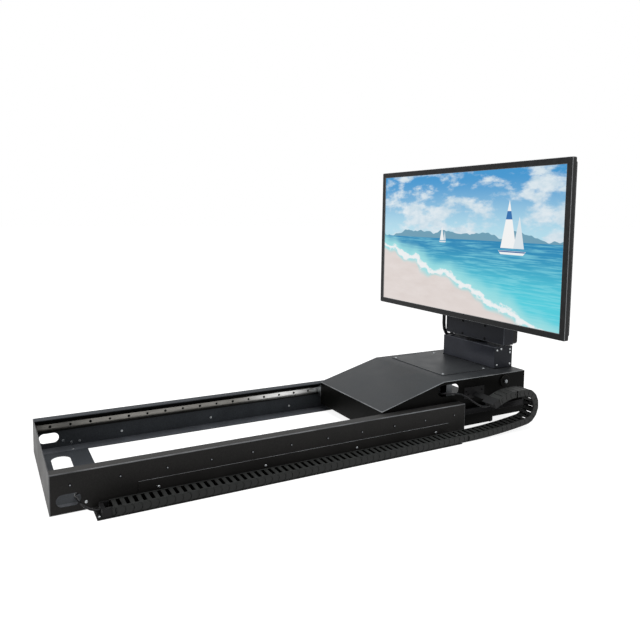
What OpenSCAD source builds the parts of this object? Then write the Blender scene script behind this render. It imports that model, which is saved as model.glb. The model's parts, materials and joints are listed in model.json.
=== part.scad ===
// Motorised TV lift that lies under a bed: a flat steel base, a carriage that runs out of its open end,
// a column that folds down outwards on the carriage, and a swivelling head that carries a flat TV.
// Frame: origin at the plan centre of the base on the floor, X towards the open end, Y to the far side, Z up.

/* [Base] */
// Length of the base
base_l = 1350; // [1300:10:1450]
// Width of the base over its side walls
base_w = 470; // [460:5:520]
// Height of the base walls
base_h = 106; // [104:1:120]
// Thickness of the base's sheet steel
base_t = 2.5; // [1.5:0.5:3]
// Width of the inward flange along the top of a wall
top_flange_w = 33; // [24:1:36]
// Width of the inward flange along the foot of a wall
foot_flange_w = 50; // [48:1:56]
// Length of the floor plate at the closed end
floor_l = 158; // [140:1:170]
// Length of the cable slot in each wall
wall_slot_l = 61; // [40:1:64]
// Height of the cable slot in each wall
wall_slot_h = 32; // [20:1:34]
// Cable slot centre from the closed end
wall_slot_x = 46; // [44:1:60]
// Cable slot centre above the floor
wall_slot_z = 35; // [30:1:38]
// Width of the cut-out in the floor plate
floor_slot_w = 56; // [30:1:60]
// Length of the cut-out in the floor plate
floor_slot_l = 262; // [200:1:320]
// Floor cut-out centre from the closed end
floor_slot_x = 69; // [50:1:80]
// Offset of the floor cut-out towards the far side
floor_slot_off = 21; // [0:1:24]
// Diameter of a floor anchor hole
anchor_d = 9; // [6:0.5:11]
// Distance between floor anchors along the base
anchor_x = 1120; // [900:10:1150]
// Floor anchors from the outside of the walls
anchor_in = 37; // [34:1:40]

/* [Rails] */
// Height of the slide rail
rail_h = 24; // [20:1:28]
// Depth of the slide rail
rail_d = 12; // [10:0.5:14]
// Thickness of the rail's steel
rail_t = 2; // [1.5:0.5:2.5]
// Rail centre above the floor
rail_z = 73; // [72:1:80]
// Distance between rivets
rivet_pitch = 125; // [100:5:150]
// First rivet from the closed end
rivet_first = 50; // [30:5:70]
// Diameter of a rivet head
rivet_head_d = 9; // [6:0.5:10]
// Diameter of an open hole in the rail
rail_hole_d = 8; // [5:0.5:9]

/* [Carriage] */
// Length of the carriage
carriage_l = 643; // [620:1:660]
// Gap between each side panel and the edge of the base's top flange
carriage_gap = 1; // [0.5:0.5:4]
// How far the carriage stands out of the base
carriage_out = 317; // [300:1:330]
// Thickness of the carriage's sheet steel
skin_t = 2; // [1:0.5:3]
// Length of the sloping front of the cover, measured level
ramp_l = 259; // [220:1:280]
// Gap from the base wall up to the low edge of the ramp
ramp_clear = 6; // [4:1:12]
// Rise of the ramp
ramp_rise = 69.5; // [60:0.5:80]
// Lower edge of the side panels above the floor
skirt_z = 27; // [25:1:30]
// Length of the cable slot in each side panel
side_slot_l = 93; // [60:1:100]
// Height of the cable slot in each side panel
side_slot_h = 40; // [24:1:42]
// Diameter of a support roller
roller_d = 22; // [18:1:24]
// Width of a support roller
roller_w = 22; // [14:1:28]
// Diameter of a support roller's axle
roller_axle_d = 8; // [5:0.5:10]

/* [Service cover] */
// Length of the service cover
cover_l = 218; // [180:1:220]
// Width of the service cover
cover_w = 300; // [240:2:310]
// Thickness of the service cover
cover_t = 2; // [1:0.5:3]
// Sideways offset of the service cover towards the far side
cover_off = 15; // [0:1:18]
// Screw inset from the cover's edges
cover_inset = 12; // [8:1:16]

/* [Column] */
// Pivot axis from the carriage's outer end
pivot_back = 101; // [96:1:106]
// Pivot axis above the floor
pivot_z = 153; // [150:1:156]
// Diameter of the pivot shaft
shaft_d = 20; // [16:1:22]
// Diameter of the discs on the pivot shaft's ends
disc_d = 44; // [36:1:48]
// Thickness of a pivot disc
disc_t = 5; // [3:0.5:8]
// Width of the column housing
column_w = 279; // [260:1:290]
// Depth of the column housing
column_d = 89; // [86:1:92]
// Height of the column housing
column_h = 80; // [78:1:84]
// Thickness of the column's sheet steel
column_t = 2; // [1.5:0.5:3]
// Thickness of a flip arm
arm_t = 8; // [5:1:12]

/* [Head] */
// Width of the head housing
head_w = 313; // [300:1:330]
// Depth of the head housing
head_d = 48; // [46:1:54]
// Height of the head housing
head_h = 75; // [72:1:80]
// Open gap between column and head
head_gap = 8; // [7:0.5:10]
// Depth of the rear cover on the head
rear_cover_d = 22; // [16:1:24]
// Diameter of the swivel spindle
spindle_d = 32; // [26:1:34]
// Width of the mast
mast_w = 80; // [60:2:90]
// Height of the mast above the head housing's foot
mast_h = 500; // [480:5:520]
// Wall of the mast tube
mast_t = 2.5; // [2:0.5:4]

/* [TV] */
// Width of the TV
tv_w = 986; // [940:2:1010]
// Height of the TV
tv_h = 578; // [560:2:590]
// Thickness of the TV at its edge
tv_edge_t = 18; // [14:1:24]
// Width of the bezel round the picture
bezel_w = 22; // [12:1:26]
// Depth of the shell behind the edge
shell_d = 18; // [12:1:22]
// Height of the box along the lower rear
box_h = 106; // [80:1:112]
// Depth of the box along the lower rear
box_d = 17; // [10:1:20]
// Distance between mounting holes on the TV's back
vesa = 200; // [100:100:200]

/* [Cable chain] */
// Pitch of the links
link_pitch = 21.4; // [20.6:0.1:22.2]
// Width of the chain
chain_w = 48; // [36:1:52]
// Height of the chain
chain_h = 24; // [20:1:25]
// Gap between the chain and the base wall
chain_gap = 21; // [14:1:24]
// Bend radius of the chain's middle line
loop_r = 52; // [50:0.5:54]
// Links in the fixed stretch on the floor
fixed_links = 31; // [29:1:32]
// Links that change from the lower to the upper stretch over the travel
passing_links = 23; // [22:1:24]
// Links in the loop
loop_links = 22; // [22:1:23]
// Links in the bend at the carriage
upper_links = 4; // [3:1:5]
// Height of the tray's leg on the wall
tray_leg_h = 49; // [40:1:54]
// Thickness of the tray
tray_t = 2; // [1.5:0.5:3]

/* [Drives] */
// Tooth module of the rack and the flip gears
gear_m = 2; // [1.5:0.25:2]
// Tooth module of the swivel gears
swivel_m = 1.5; // [1.25:0.25:1.5]
// Teeth on each drive pinion
pinion_teeth = 16; // [16:1:18]
// Teeth of the full circle that the flip sector is part of
sector_teeth = 40; // [38:1:40]
// Teeth on the swivel gear
swivel_teeth = 36; // [32:2:36]
// Width of a gear face
gear_w = 12; // [8:1:14]

/* [Hidden] */
$fn = 48;
// Radial clearance of a shaft in its bore
run_c = 0.05;
// Clearance between flat faces that slide past each other
slide_c = 0.4;
// Small overshoot that lets a cut pass clean through a face
cut = 1;
// Colours of the finishes
base_black = "#2b2a28";
carriage_grey = "#54575a";
column_slate = "#383a40";
zinc = "#b9bcbe";
black_plastic = "#1c1c1d";
chain_grey = "#3c3d3f";
steel = "#8f9396";

// Base
x_l = -base_l / 2;
x_r = base_l / 2;
y_w = base_w / 2;
y_in = y_w - base_t;
anchor_y = base_w - 2 * anchor_in;
slot_cx = x_l + wall_slot_x;
rail_end_gap = 10;
rail_x0 = x_l + rail_end_gap;
rail_x1 = x_r - rail_end_gap;
rail_y = y_in - rail_d;
rivet_shank_d = 5;
rivet_head_t = 2;
rivet_tail_t = 1.5;
rivet_xs = [for (x = [x_l + rivet_first : rivet_pitch : rail_x1 - rivet_head_d]) x];
rail_hole_xs = [for (x = rivet_xs) if (x + rivet_pitch / 2 < rail_x1 - rail_hole_d) x + rivet_pitch / 2];
slot_screw_gap = 12;
slot_screw_x = slot_cx + wall_slot_l / 2 + slot_screw_gap;
slot_screw_z = 22;
wall_screw_d = 4;
wall_screw_head_d = 8;
wall_screw_head_t = 2;

// Carriage
c_x1 = x_r + carriage_out;
c_x0 = c_x1 - carriage_l;
crease_x = c_x0 + ramp_l;
ramp_z = base_h + ramp_clear;
deck_z = ramp_z + ramp_rise;
side_y = y_w - top_flange_w - carriage_gap;
inner_y = side_y - skin_t;
front_inset = 3;
front_x = c_x0 + front_inset;
slope = ramp_rise / ramp_l;
ramp_under_z = ramp_z + slope * (front_x - c_x0) - skin_t;
side_slot_past_crease = 20;
side_slot_drop = 32;
side_slot_cx = crease_x + side_slot_past_crease;
side_slot_cz = deck_z - side_slot_drop;
pivot_x = c_x1 - pivot_back;
pan_short = 7;
pan_x1 = c_x1 - pan_short;
runner_c = 0.4;
runner_h = rail_h - 2 * rail_t - 2 * runner_c;
runner_tab_t = 4;
runner_tab_drop = 20;
runner_side_c = 1.5;
runner_x0 = front_x + runner_tab_t;
runner_end_gap = 7;
runner_x1 = c_x1 - runner_end_gap;
runner_neck_h = 7;
fork_back = 43;
fork_x = pivot_x - fork_back;
roller_side_gap = 2;
fork_y = y_w - foot_flange_w - roller_side_gap - roller_w / 2;
fork_t = 2;
fork_gap = 1;
fork_half = roller_w / 2 + fork_gap + fork_t;
fork_l = 208;
fork_nose_wall = 3;
fork_nose = roller_axle_d / 2 + fork_nose_wall;
fork_cheek_drop = 7;
bush_wall = 5;
bush_od = shaft_d + 2 * bush_wall;
bush_flange_w = 5;
bush_flange_d = bush_od + 2 * bush_flange_w;
bush_flange_t = 3;
bush_l = 12;

// Service cover
cover_back = 15;
cover_x1 = pivot_x - cover_back;
cover_x0 = cover_x1 - cover_l;
cover_screws_xy = [for (x = [cover_x0 + cover_inset, cover_x1 - cover_inset], s = [-1, 1])
    [x, cover_off + s * (cover_w / 2 - cover_inset)]];
cover_screw_d = 4;
cover_screw_head_d = 9;
cover_screw_head_t = 2.4;
window_inset = 24;
screw_tail = 4;

// Column
column_ahead = 11;
column_lift = 0.5;
column_x0 = pivot_x + column_ahead;
column_x1 = column_x0 + column_d;
column_z0 = deck_z + column_lift;
column_z1 = column_z0 + column_h;
notch_gap = 3;
notch_y = column_w / 2 + notch_gap;
notch_ahead = 10;
notch_x = pivot_x + notch_ahead;
arm_inset = 36;
arm_y = column_w / 2 - arm_inset;
arm_hub_w = 9;
arm_hub_d = shaft_d + 2 * arm_hub_w;
arm_low_x = 6;
arm_low_z = 12;
arm_toe_inset = 6;
arm_toe_h = 14;
arm_heel_inset = 4;
arm_top_x = 10;
arm_top_z = 14;
column_screw_inset = 12;
third_screw_in = 32;
third_screw_down = 8;
fourth_screw_down = 24;
column_screw_d = 4;
column_screw_head_d = 8;
column_screw_head_t = 2;

// Head
swivel_off = 3.5;
head_ahead = 23;
swivel_x = column_x0 + column_d / 2 + swivel_off;
head_x0 = swivel_x - head_ahead;
head_x1 = head_x0 + head_d;
head_t = 2;
head_z0 = column_z1 + head_gap;
head_z1 = head_z0 + head_h;
bush_ring_t = head_gap / 2;
collar_gap = 0.4;
swivel_bush_wall = 13;
swivel_bush_d = spindle_d + 2 * swivel_bush_wall;
swivel_flange_w = 25;
swivel_flange_d = spindle_d + 2 * swivel_flange_w;
collar_w = 20;
collar_d = spindle_d + 2 * collar_w;
bush_depth = 16;
spindle_lift = 24;
spindle_stub = 28;
gear_lift = 6;
spindle_z0 = column_z0 + spindle_lift;
spindle_z1 = head_z0 + spindle_stub;
gear_z0 = spindle_z0 + gear_lift;
head_bolt_y = 60;
head_bolt_low = 9;
head_bolt_high = 60;
head_bolt_zs = [head_z0 + head_bolt_low, head_z0 + head_bolt_high];
head_bolt_d = 6;
head_bolt_head_d = 10;
head_bolt_head_t = 3;
head_bolt_tail = 5;
mast_foot_t = 4;
mast_foot_w = 150;
mast_x0 = head_x0 + head_t + mast_foot_t;
mast_gap = 4;
mast_x1 = head_x1 - mast_gap;
mast_z0 = spindle_z1 + mast_gap;
mast_z1 = head_z0 + mast_h;
rear_cover_r = 14;

// TV
tv_ahead = 95;
tv_lift = 88.5;
tv_x0 = head_x0 - tv_ahead;
tv_x1 = tv_x0 + tv_edge_t;
shell_x1 = tv_x1 + shell_d;
box_x1 = shell_x1 + box_d;
tv_z0 = head_z0 + tv_lift;
tv_zc = tv_z0 + tv_h / 2;
lip_t = 3;
panel_t = 6;
panel_tuck = 5;
panel_c = 1;
shell_inset = 12;
shell_t = 2.5;
box_inset = 25;
box_lift = 14;
box_z0 = tv_z0 + box_lift;
tv_corner_r = 5;
plate_t = 6;
plate_w = 300;
plate_h = 176;
plate_x0 = mast_x0 - plate_t;
tv_arm_w = 30;
tv_arm_h = 300;
tv_arm_t = 2.5;
tv_bolt_d = 6;
tv_bolt_head_d = 12;
tv_bolt_head_t = 4;
tv_bolt_l = 8;

// Cable chain: path of its middle line seen from the near side, as [x, z, heading]
half_turn = 180;
link_gap = 0.4;
chain_y1 = -y_w - chain_gap;
chain_y0 = chain_y1 - chain_w;
chain_z = tray_t + slide_c + chain_h / 2;
loop_back = 55;
loop_x0 = x_r - loop_back;
passing_l = passing_links * link_pitch;
travel = 2 * passing_l;
fixed_x0 = loop_x0 - passing_l - fixed_links * link_pitch;
rise_r = 2100;
rise_l = 275;
end_r = 190;
loop_l = loop_links * link_pitch;
rise_deg = rise_l / rise_r * 180 / PI;
turn_l = (180 - rise_deg) / 180 * PI * loop_r;
function arc_at(p, r, s) =
    let (h = p[2] + s / r * 180 / PI)
    [p[0] + r * (sin(h) - sin(p[2])), p[1] - r * (cos(h) - cos(p[2])), h];
rise_start = [loop_x0, chain_z, 0];
turn_start = arc_at(rise_start, rise_r, rise_l);
turn_end = arc_at(turn_start, loop_r, turn_l);
loop_end = [turn_end[0] - (loop_l - rise_l - turn_l), turn_end[1], half_turn];
upper_end = arc_at(loop_end, end_r, upper_links * link_pitch);
function loop_path(s) =
    s < rise_l ? arc_at(rise_start, rise_r, s)
    : s < rise_l + turn_l ? arc_at(turn_start, loop_r, s - rise_l)
    : s < loop_l ? [turn_end[0] - (s - rise_l - turn_l), turn_end[1], half_turn]
    : arc_at(loop_end, end_r, s - loop_l);
connector_l = 24;
lug_t = 4;
tray_end = 12;
tray_x0 = fixed_x0 - connector_l - tray_end;
tray_short = 20;
tray_x1 = loop_x0 - tray_short;
tray_leg_back = 221.4;
tray_leg_x0 = x_l + tray_leg_back;
tray_screw_inset = 54;
tray_screws = 4;
tray_screw_xs = [for (i = [0:tray_screws - 1])
    tray_leg_x0 + tray_screw_inset + i * (tray_x1 - tray_leg_x0 - 2 * tray_screw_inset) / (tray_screws - 1)];
tray_screw_z = 25;

// Drives
pinion_r = gear_m * pinion_teeth / 2;
rack_off = 4;
rack_y0 = -y_in + rack_off;
rack_h = 20;
rack_z0 = base_t;
addendum = 0.8;
dedendum = 1.05;
backlash = 0.2;
rack_pitch_z = rack_z0 + rack_h - addendum * gear_m;
drive_back = 81;
drive_x = c_x0 + drive_back;
drive_z = rack_pitch_z + pinion_r;
drive_shaft_d = 10;
shaft_hole_c = 1;
rack_spare = 40;
rack_x0 = drive_x - travel - rack_spare;
rack_x1 = drive_x + rack_spare;
sector_r = gear_m * sector_teeth / 2;
flip_dir = 250;
flip_x = pivot_x + (sector_r + pinion_r) * cos(flip_dir);
flip_z = pivot_z + (sector_r + pinion_r) * sin(flip_dir);
flip_y0 = 38;
sector_span = 106;
sector_inset = 1;
swivel_gear_r = swivel_m * swivel_teeth / 2;
swivel_pinion_r = swivel_m * pinion_teeth / 2;
swivel_pinion_y = -(swivel_gear_r + swivel_pinion_r);
swivel_shaft_d = 8;

wall_nut_t = 3;
far_screw_back = 114;
far_screw_pitch = 26;
far_screw_z = 13;
far_screw_ps = [for (i = [0, 1]) [x_l + far_screw_back + i * far_screw_pitch, far_screw_z]];
wall_screw_ps = concat([[slot_screw_x, slot_screw_z]], [for (x = tray_screw_xs) [x, tray_screw_z]]);
tray_lip = 2;
clamp_l = 10;
clamp_h = 16;
clamp_c = 1;
chain_yc = (chain_y0 + chain_y1) / 2;
anchor_screw_inset = 8;
anchor_screw = [fixed_x0 - connector_l - clamp_l / 2, chain_y0 + anchor_screw_inset];
link_plate_t = 5;
link_bar_t = 3;
link_bar_l = 10;
link_bar_sink = 1;
lug_inset = 2;
bracket_t = 2;
bracket_back = 66;
bracket_front = 26;
bracket_clear = 4;
bracket_rise = 32;
bracket_x0 = upper_end[0] - bracket_back;
bracket_x1 = upper_end[0] + bracket_front;
bracket_z0 = base_h + bracket_clear;
bracket_z1 = upper_end[1] + bracket_rise;
bracket_screw_ins = [8, 18, 10];
bracket_screw_downs = [13, 24];
bracket_screw_ps = [[bracket_x0 + bracket_screw_ins[0], bracket_z1 - bracket_screw_downs[0]],
    [bracket_x0 + bracket_screw_ins[1], bracket_z1 - bracket_screw_downs[1]],
    [bracket_x1 - bracket_screw_ins[2], bracket_z1 - bracket_screw_downs[0]]];
drive_box_l = 64;
drive_box_w = 34;
drive_box_h = 86;
motor_d = 54;
motor_l = 105;
motor_inset = 2;
flip_motor_d = 46;
flip_motor_l = 87;
flip_box_gap = 10;
flip_box_back = 24;
flip_box_front = 14;
flip_box_half_h = 24;
flip_foot_inset = 4;
flip_motor_back = 8;
bore_floor = 3;
shaft_end_gap = 6;
swivel_box_gap = 3;
swivel_box_half = 22;
swivel_box_past = 20;
swivel_shaft_l = 14;
swivel_box_z1 = spindle_z0 - swivel_box_gap;
swivel_motor_d = 34;
swivel_motor_l = 64;
pivot_bolt_d = 8;
pivot_bolt_l = 22;
pivot_bolt_head_d = 15;
pivot_bolt_head_t = 5;
column_screw_ps = concat([for (x = [column_x0 + column_screw_inset, column_x1 - column_screw_inset],
    z = [column_z0 + column_screw_inset, column_z1 - column_screw_inset]) [x, z]],
    [[column_x0 + third_screw_in, column_z1 - third_screw_down],
    [column_x1 - column_screw_inset, column_z1 - fourth_screw_down]]);
cover_wall = 2.5;
gland_lift = 38;
gland_z0 = head_z0 + gland_lift;
gland_l = 39;
gland_h = 22;
gland_inset = 1;

// Boxes that the cables end at
control_back = 191;
control_gap = 10;
control_off = 14;
control_w = 125;
control_h = 66;
control_x1 = c_x0 + control_back;
junction_back = 103;
junction_off = 1;
junction_w = 94;
junction_h = 19;
junction_inset = 5;
junction_x0 = x_l + junction_back;

// Cables: points along each route, set off from the parts that it joins
cable_d = 6;
sleeve_d = 14;
base_cable_route = [[-572, -150, 12], [-584, -151, 12], [-596, -158, 14], [-604, -171, 17], [-607, -187, 20],
    [-607, -203, 23], [-607, -219, 28], [-607, -236, 31], [-604, -253, 30], [-597, -267, 26], [-584, -277, 20],
    [-571, -280, 16], [-558, -280, 14.4], [-540, -280, 14.4], [-522, -280, 14.4], [-506, -280, 14.4]];
carriage_cable_route = [[788, -280, 125.5], [774, -280, 120.5], [760, -280, 114.4], [744, -280, 106.6],
    [732, -279, 102], [718, -273, 101], [704, -263, 107], [690, -252, 118], [674, -241, 131], [658, -233, 140],
    [640, -225, 143], [622, -215, 143], [608, -201, 141], [598, -184, 136], [588, -169, 125], [577, -160, 110],
    [566, -156, 95], [554, -155, 85], [547, -155, 82], [540, -155, 82]];
tv_cable_route = [[885, 166, 425], [892, 166, 425], [905, 166, 419], [915, 166, 406], [921, 166, 386],
    [923, 166, 360], [923, 166, 332], [923, 166, 305], [926, 166, 280], [936, 166, 261], [953, 166, 251],
    [970, 166, 258], [981, 166, 276], [985, 166, 295], [985, 166, 308]];

// Extrudes an outline drawn in X and Z from y0 to y1
module along_y(y0, y1) {
    translate([0, y1, 0]) rotate([90, 0, 0]) linear_extrude(y1 - y0) children();
}
// Extrudes an outline drawn in Y and Z from x0 to x1
module along_x(x0, x1) {
    translate([x0, 0, 0]) rotate([90, 0, 90]) linear_extrude(x1 - x0) children();
}
// Box between two opposite corners
module block(low, high) {
    translate(low) cube(high - low);
}
// Round bars along each axis
module bar_x(y, z, x0, x1, d) {
    translate([x0, y, z]) rotate([0, 90, 0]) cylinder(d = d, h = x1 - x0);
}
module bar_y(x, z, y0, y1, d) {
    translate([x, y1, z]) rotate([90, 0, 0]) cylinder(d = d, h = y1 - y0);
}
module bar_z(x, y, z0, z1, d) {
    translate([x, y, z0]) cylinder(d = d, h = z1 - z0);
}
// Slot outline with round ends, along the first axis
module obround(l, h) {
    square([l - h, h], center = true);
    for (s = [-1, 1]) translate([s * (l - h) / 2, 0]) circle(d = h);
}
// Rectangle outline with round corners
module rounded(w, h, r) {
    square([w, h - 2 * r], center = true);
    square([w - 2 * r, h], center = true);
    for (sx = [-1, 1], sy = [-1, 1]) translate([sx * (w / 2 - r), sy * (h / 2 - r)]) circle(r = r);
}
// The near side's piece turned over to the far side
module to_far() {
    mirror([0, 1, 0]) children();
}
module both_sides() {
    children();
    to_far() children();
}
// Fastener along Y with its head on the near side of the plane y
module screw_y(x, z, y, l, d, head_d, head_t) {
    bar_y(x, z, y - head_t, y, head_d);
    bar_y(x, z, y, y + l, d);
}

// Gear tooth outlines: 20 degree involute flanks with a stub addendum
flank_steps = 3;
function involute(a) = tan(a) * 180 / PI - a;
function flank_angle(half, rb, r) = half - involute(acos(min(1, rb / r)));
function polar(r, a) = [r * cos(a), r * sin(a)];
function tooth(m, teeth, centre) =
    let (rp = m * teeth / 2, rb = rp * cos(20), ra = rp + addendum * m, rf = rp - dedendum * m,
         half = 90 / teeth - backlash / 2 / rp * 180 / PI + involute(20), r0 = max(rb, rf),
         rs = [for (i = [0:flank_steps]) r0 + (ra - r0) * i / flank_steps])
    concat(rf < r0 ? [polar(rf, centre - flank_angle(half, rb, r0))] : [],
           [for (r = rs) polar(r, centre - flank_angle(half, rb, r))],
           [for (i = [flank_steps:-1:0]) polar(rs[i], centre + flank_angle(half, rb, rs[i]))],
           rf < r0 ? [polar(rf, centre + flank_angle(half, rb, r0))] : []);
module gear(m, teeth, first) {
    polygon([for (i = [0:teeth - 1]) each tooth(m, teeth, first + i * 360 / teeth)]);
}
module gear_sector(m, teeth, first, count) {
    polygon(concat([[0, 0]], [for (i = [0:count - 1]) each tooth(m, teeth, first + i * 360 / teeth)]));
}

// Cable tube with one ring at each point of its route
tube_sides = 8;
function unit(v) = v / norm(v);
module tube(route, d, side) {
    p = route;
    n = len(p);
    rings = [for (i = [0:n - 1])
        let (t = unit(p[min(i + 1, n - 1)] - p[max(i - 1, 0)]), u = unit(cross(side, t)), v = cross(t, u))
        for (k = [0:tube_sides - 1])
            let (a = k * 360 / tube_sides) p[i] + d / 2 * (cos(a) * u + sin(a) * v)];
    walls = [for (i = [0:n - 2], k = [0:tube_sides - 1])
        let (a = i * tube_sides + k, b = i * tube_sides + (k + 1) % tube_sides)
        each [[a, a + tube_sides, b + tube_sides], [a, b + tube_sides, b]]];
    last = (n - 1) * tube_sides;
    ends = [for (k = [1:tube_sides - 2]) each [[0, k, k + 1], [last, last + k + 1, last + k]]];
    polyhedron(points = rings, faces = concat(walls, ends));
}

// Base
module side_channel(more_screws) {
    difference() {
        along_x(x_l, x_r) polygon([[-y_w, 0], [-y_w + foot_flange_w, 0], [-y_w + foot_flange_w, base_t],
            [-y_in, base_t], [-y_in, base_h - base_t], [-y_w + top_flange_w, base_h - base_t],
            [-y_w + top_flange_w, base_h], [-y_w, base_h]]);
        block([x_l - cut, -y_in, -cut], [x_l + base_t, 0, base_h + cut]);
        along_y(-y_w - cut, -y_in + cut) translate([slot_cx, wall_slot_z]) obround(wall_slot_l, wall_slot_h);
        for (x = rivet_xs) bar_y(x, rail_z, -y_w - cut, -y_in + cut, rivet_shank_d + 2 * run_c);
        for (p = concat(wall_screw_ps, more_screws)) bar_y(p[0], p[1], -y_w - cut, -y_in + cut, wall_screw_d + 2 * run_c);
        for (s = [-1, 1]) bar_z(s * anchor_x / 2, -anchor_y / 2, -cut, base_t + cut, anchor_d);
    }
}
module side_channel_near() { color(base_black) side_channel([]); }
module side_channel_far() { color(base_black) to_far() side_channel(far_screw_ps); }
module end_plate() {
    color(base_black) block([x_l, -y_in, 0], [x_l + base_t, y_in, base_h]);
}
module floor_plate() {
    color(base_black) difference() {
        block([x_l + base_t, -y_w + foot_flange_w, 0], [x_l + floor_l, y_w - foot_flange_w, base_t]);
        translate([x_l + floor_slot_x, floor_slot_off, -cut]) linear_extrude(base_t + 2 * cut)
            rotate(90) obround(floor_slot_l, floor_slot_w);
    }
}
module rail() {
    z0 = rail_z - rail_h / 2;
    z1 = rail_z + rail_h / 2;
    difference() {
        along_x(rail_x0, rail_x1) polygon([[-y_in, z0], [-rail_y, z0], [-rail_y, z0 + rail_t],
            [-y_in + rail_t, z0 + rail_t], [-y_in + rail_t, z1 - rail_t], [-rail_y, z1 - rail_t],
            [-rail_y, z1], [-y_in, z1]]);
        for (x = rivet_xs) bar_y(x, rail_z, -y_in - cut, -y_in + rail_t + cut, rivet_shank_d + 2 * run_c);
        for (x = rail_hole_xs) bar_y(x, rail_z, -y_in - cut, -y_in + rail_t + cut, rail_hole_d);
    }
}
module rail_near() { color(zinc) rail(); }
module rail_far() { color(zinc) to_far() rail(); }
module rail_rivets() {
    color(steel) both_sides() for (x = rivet_xs) {
        screw_y(x, rail_z, -y_w, base_t + rail_t, rivet_shank_d, rivet_head_d, rivet_head_t);
        bar_y(x, rail_z, -y_in + rail_t, -y_in + rail_t + rivet_tail_t, rivet_head_d);
    }
}
// Screw through a wall with a nut on the inside; pack is what it clamps on the outside
module wall_screw(p, pack) {
    screw_y(p[0], p[1], -y_w - pack, pack + base_t, wall_screw_d, wall_screw_head_d, wall_screw_head_t);
    bar_y(p[0], p[1], -y_in, -y_in + wall_nut_t, wall_screw_head_d);
}
module wall_screws() {
    color(zinc) {
        for (x = tray_screw_xs) wall_screw([x, tray_screw_z], tray_t);
        both_sides() wall_screw([slot_screw_x, slot_screw_z], 0);
        to_far() for (x = tray_screw_xs) wall_screw([x, tray_screw_z], 0);
        to_far() for (p = far_screw_ps) wall_screw(p, 0);
        bar_z(anchor_screw[0], anchor_screw[1], 0, tray_t + lug_t, wall_screw_d);
        bar_z(anchor_screw[0], anchor_screw[1], tray_t + lug_t, tray_t + lug_t + wall_screw_head_t,
            wall_screw_head_d);
    }
}
module chain_tray() {
    color(base_black) difference() {
        union() {
            block([tray_x0, chain_y0 - tray_lip, 0], [tray_x1, -y_w, tray_t]);
            block([tray_leg_x0, -y_w - tray_t, 0], [tray_x1, -y_w, tray_leg_h]);
        }
        for (x = tray_screw_xs) bar_y(x, tray_screw_z, -y_w - tray_t - cut, -y_w + cut, wall_screw_d + 2 * run_c);
        bar_z(anchor_screw[0], anchor_screw[1], -cut, tray_t + cut, wall_screw_d + 2 * run_c);
    }
}
// Two lugs and a cable clamp at a chain end, drawn along +X from the chain, with the clamp at the far end
module chain_connector(floor_z0, floor_z1) {
    for (y = [chain_y0, chain_y1 - lug_t])
        block([link_gap, y, -chain_h / 2 + lug_inset], [connector_l, y + lug_t, chain_h / 2 - lug_inset]);
    difference() {
        block([connector_l - clamp_l, chain_y0 + lug_t, -clamp_h / 2],
            [connector_l, chain_y1 - lug_t, clamp_h / 2]);
        bar_x(chain_yc, 0, connector_l - clamp_l - cut, connector_l + cut, cable_d + 2 * clamp_c);
    }
    block([link_gap, chain_y0, floor_z0], [connector_l + clamp_l, chain_y1, floor_z1]);
}
module chain_anchor() {
    color(black_plastic) difference() {
        translate([fixed_x0, 0, chain_z]) mirror([1, 0, 0])
            chain_connector(tray_t - chain_z, tray_t + lug_t - chain_z);
        bar_z(anchor_screw[0], anchor_screw[1], 0, tray_t + lug_t + cut, wall_screw_d + 2 * run_c);
    }
}
module drive_rack() {
    pitch = PI * gear_m;
    half = pitch / 4 - backlash / 2;
    tip = half - addendum * gear_m * tan(20);
    root = half + dedendum * gear_m * tan(20);
    z_tip = rack_pitch_z + addendum * gear_m;
    z_root = rack_pitch_z - dedendum * gear_m;
    first = ceil((rack_x0 - drive_x) / pitch);
    last = floor((rack_x1 - drive_x) / pitch) - 1;
    color(steel) along_y(rack_y0, rack_y0 + gear_w) polygon(concat(
        [[rack_x1, rack_z0], [rack_x0, rack_z0], [rack_x0, z_root]],
        [for (i = [first:last]) let (x = drive_x + (i + 0.5) * pitch)
            each [[x - root, z_root], [x - tip, z_tip], [x + tip, z_tip], [x + root, z_root]]],
        [[rack_x1, z_root]]));
}
module junction_box() {
    color(black_plastic) block([junction_x0, -y_w + foot_flange_w + junction_off, base_t],
        [x_l + floor_l - junction_inset, -y_w + foot_flange_w + junction_off + junction_w, base_t + junction_h]);
}
module base_cable() { color(black_plastic) tube(base_cable_route, cable_d, [0, 0, 1]); }

// Cable chain
module link() {
    half = (link_pitch - link_gap) / 2;
    top = half - chain_h / 8;
    for (y = [chain_y0, chain_y1 - link_plate_t]) along_y(y, y + link_plate_t)
        polygon([[-half, 0], [-top, -chain_h / 2], [top, -chain_h / 2], [half, 0], [top, chain_h / 2],
            [-top, chain_h / 2]]);
    for (s = [-1, 1]) translate([0, 0, s * (chain_h / 2 - link_bar_t / 2 - link_bar_sink)])
        block([-link_bar_l / 2, chain_y0 + link_plate_t, -link_bar_t / 2],
            [link_bar_l / 2, chain_y1 - link_plate_t, link_bar_t / 2]);
}
module link_at(p) {
    translate([p[0], 0, p[1]]) rotate([0, -p[2], 0]) link();
}
module chain_lower_run() {
    color(chain_grey) for (i = [0:fixed_links - 1]) link_at([fixed_x0 + (i + 0.5) * link_pitch, chain_z, 0]);
}
module chain_passing_run() {
    color(chain_grey) for (i = [0:passing_links - 1])
        link_at([loop_x0 - passing_l + (i + 0.5) * link_pitch, chain_z, 0]);
}
module chain_loop() {
    color(chain_grey) for (i = [0:loop_links - 1]) link_at(loop_path((i + 0.5) * link_pitch));
}
module chain_upper_run() {
    color(chain_grey) for (i = [0:upper_links - 1]) link_at(loop_path(loop_l + (i + 0.5) * link_pitch));
}

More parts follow.
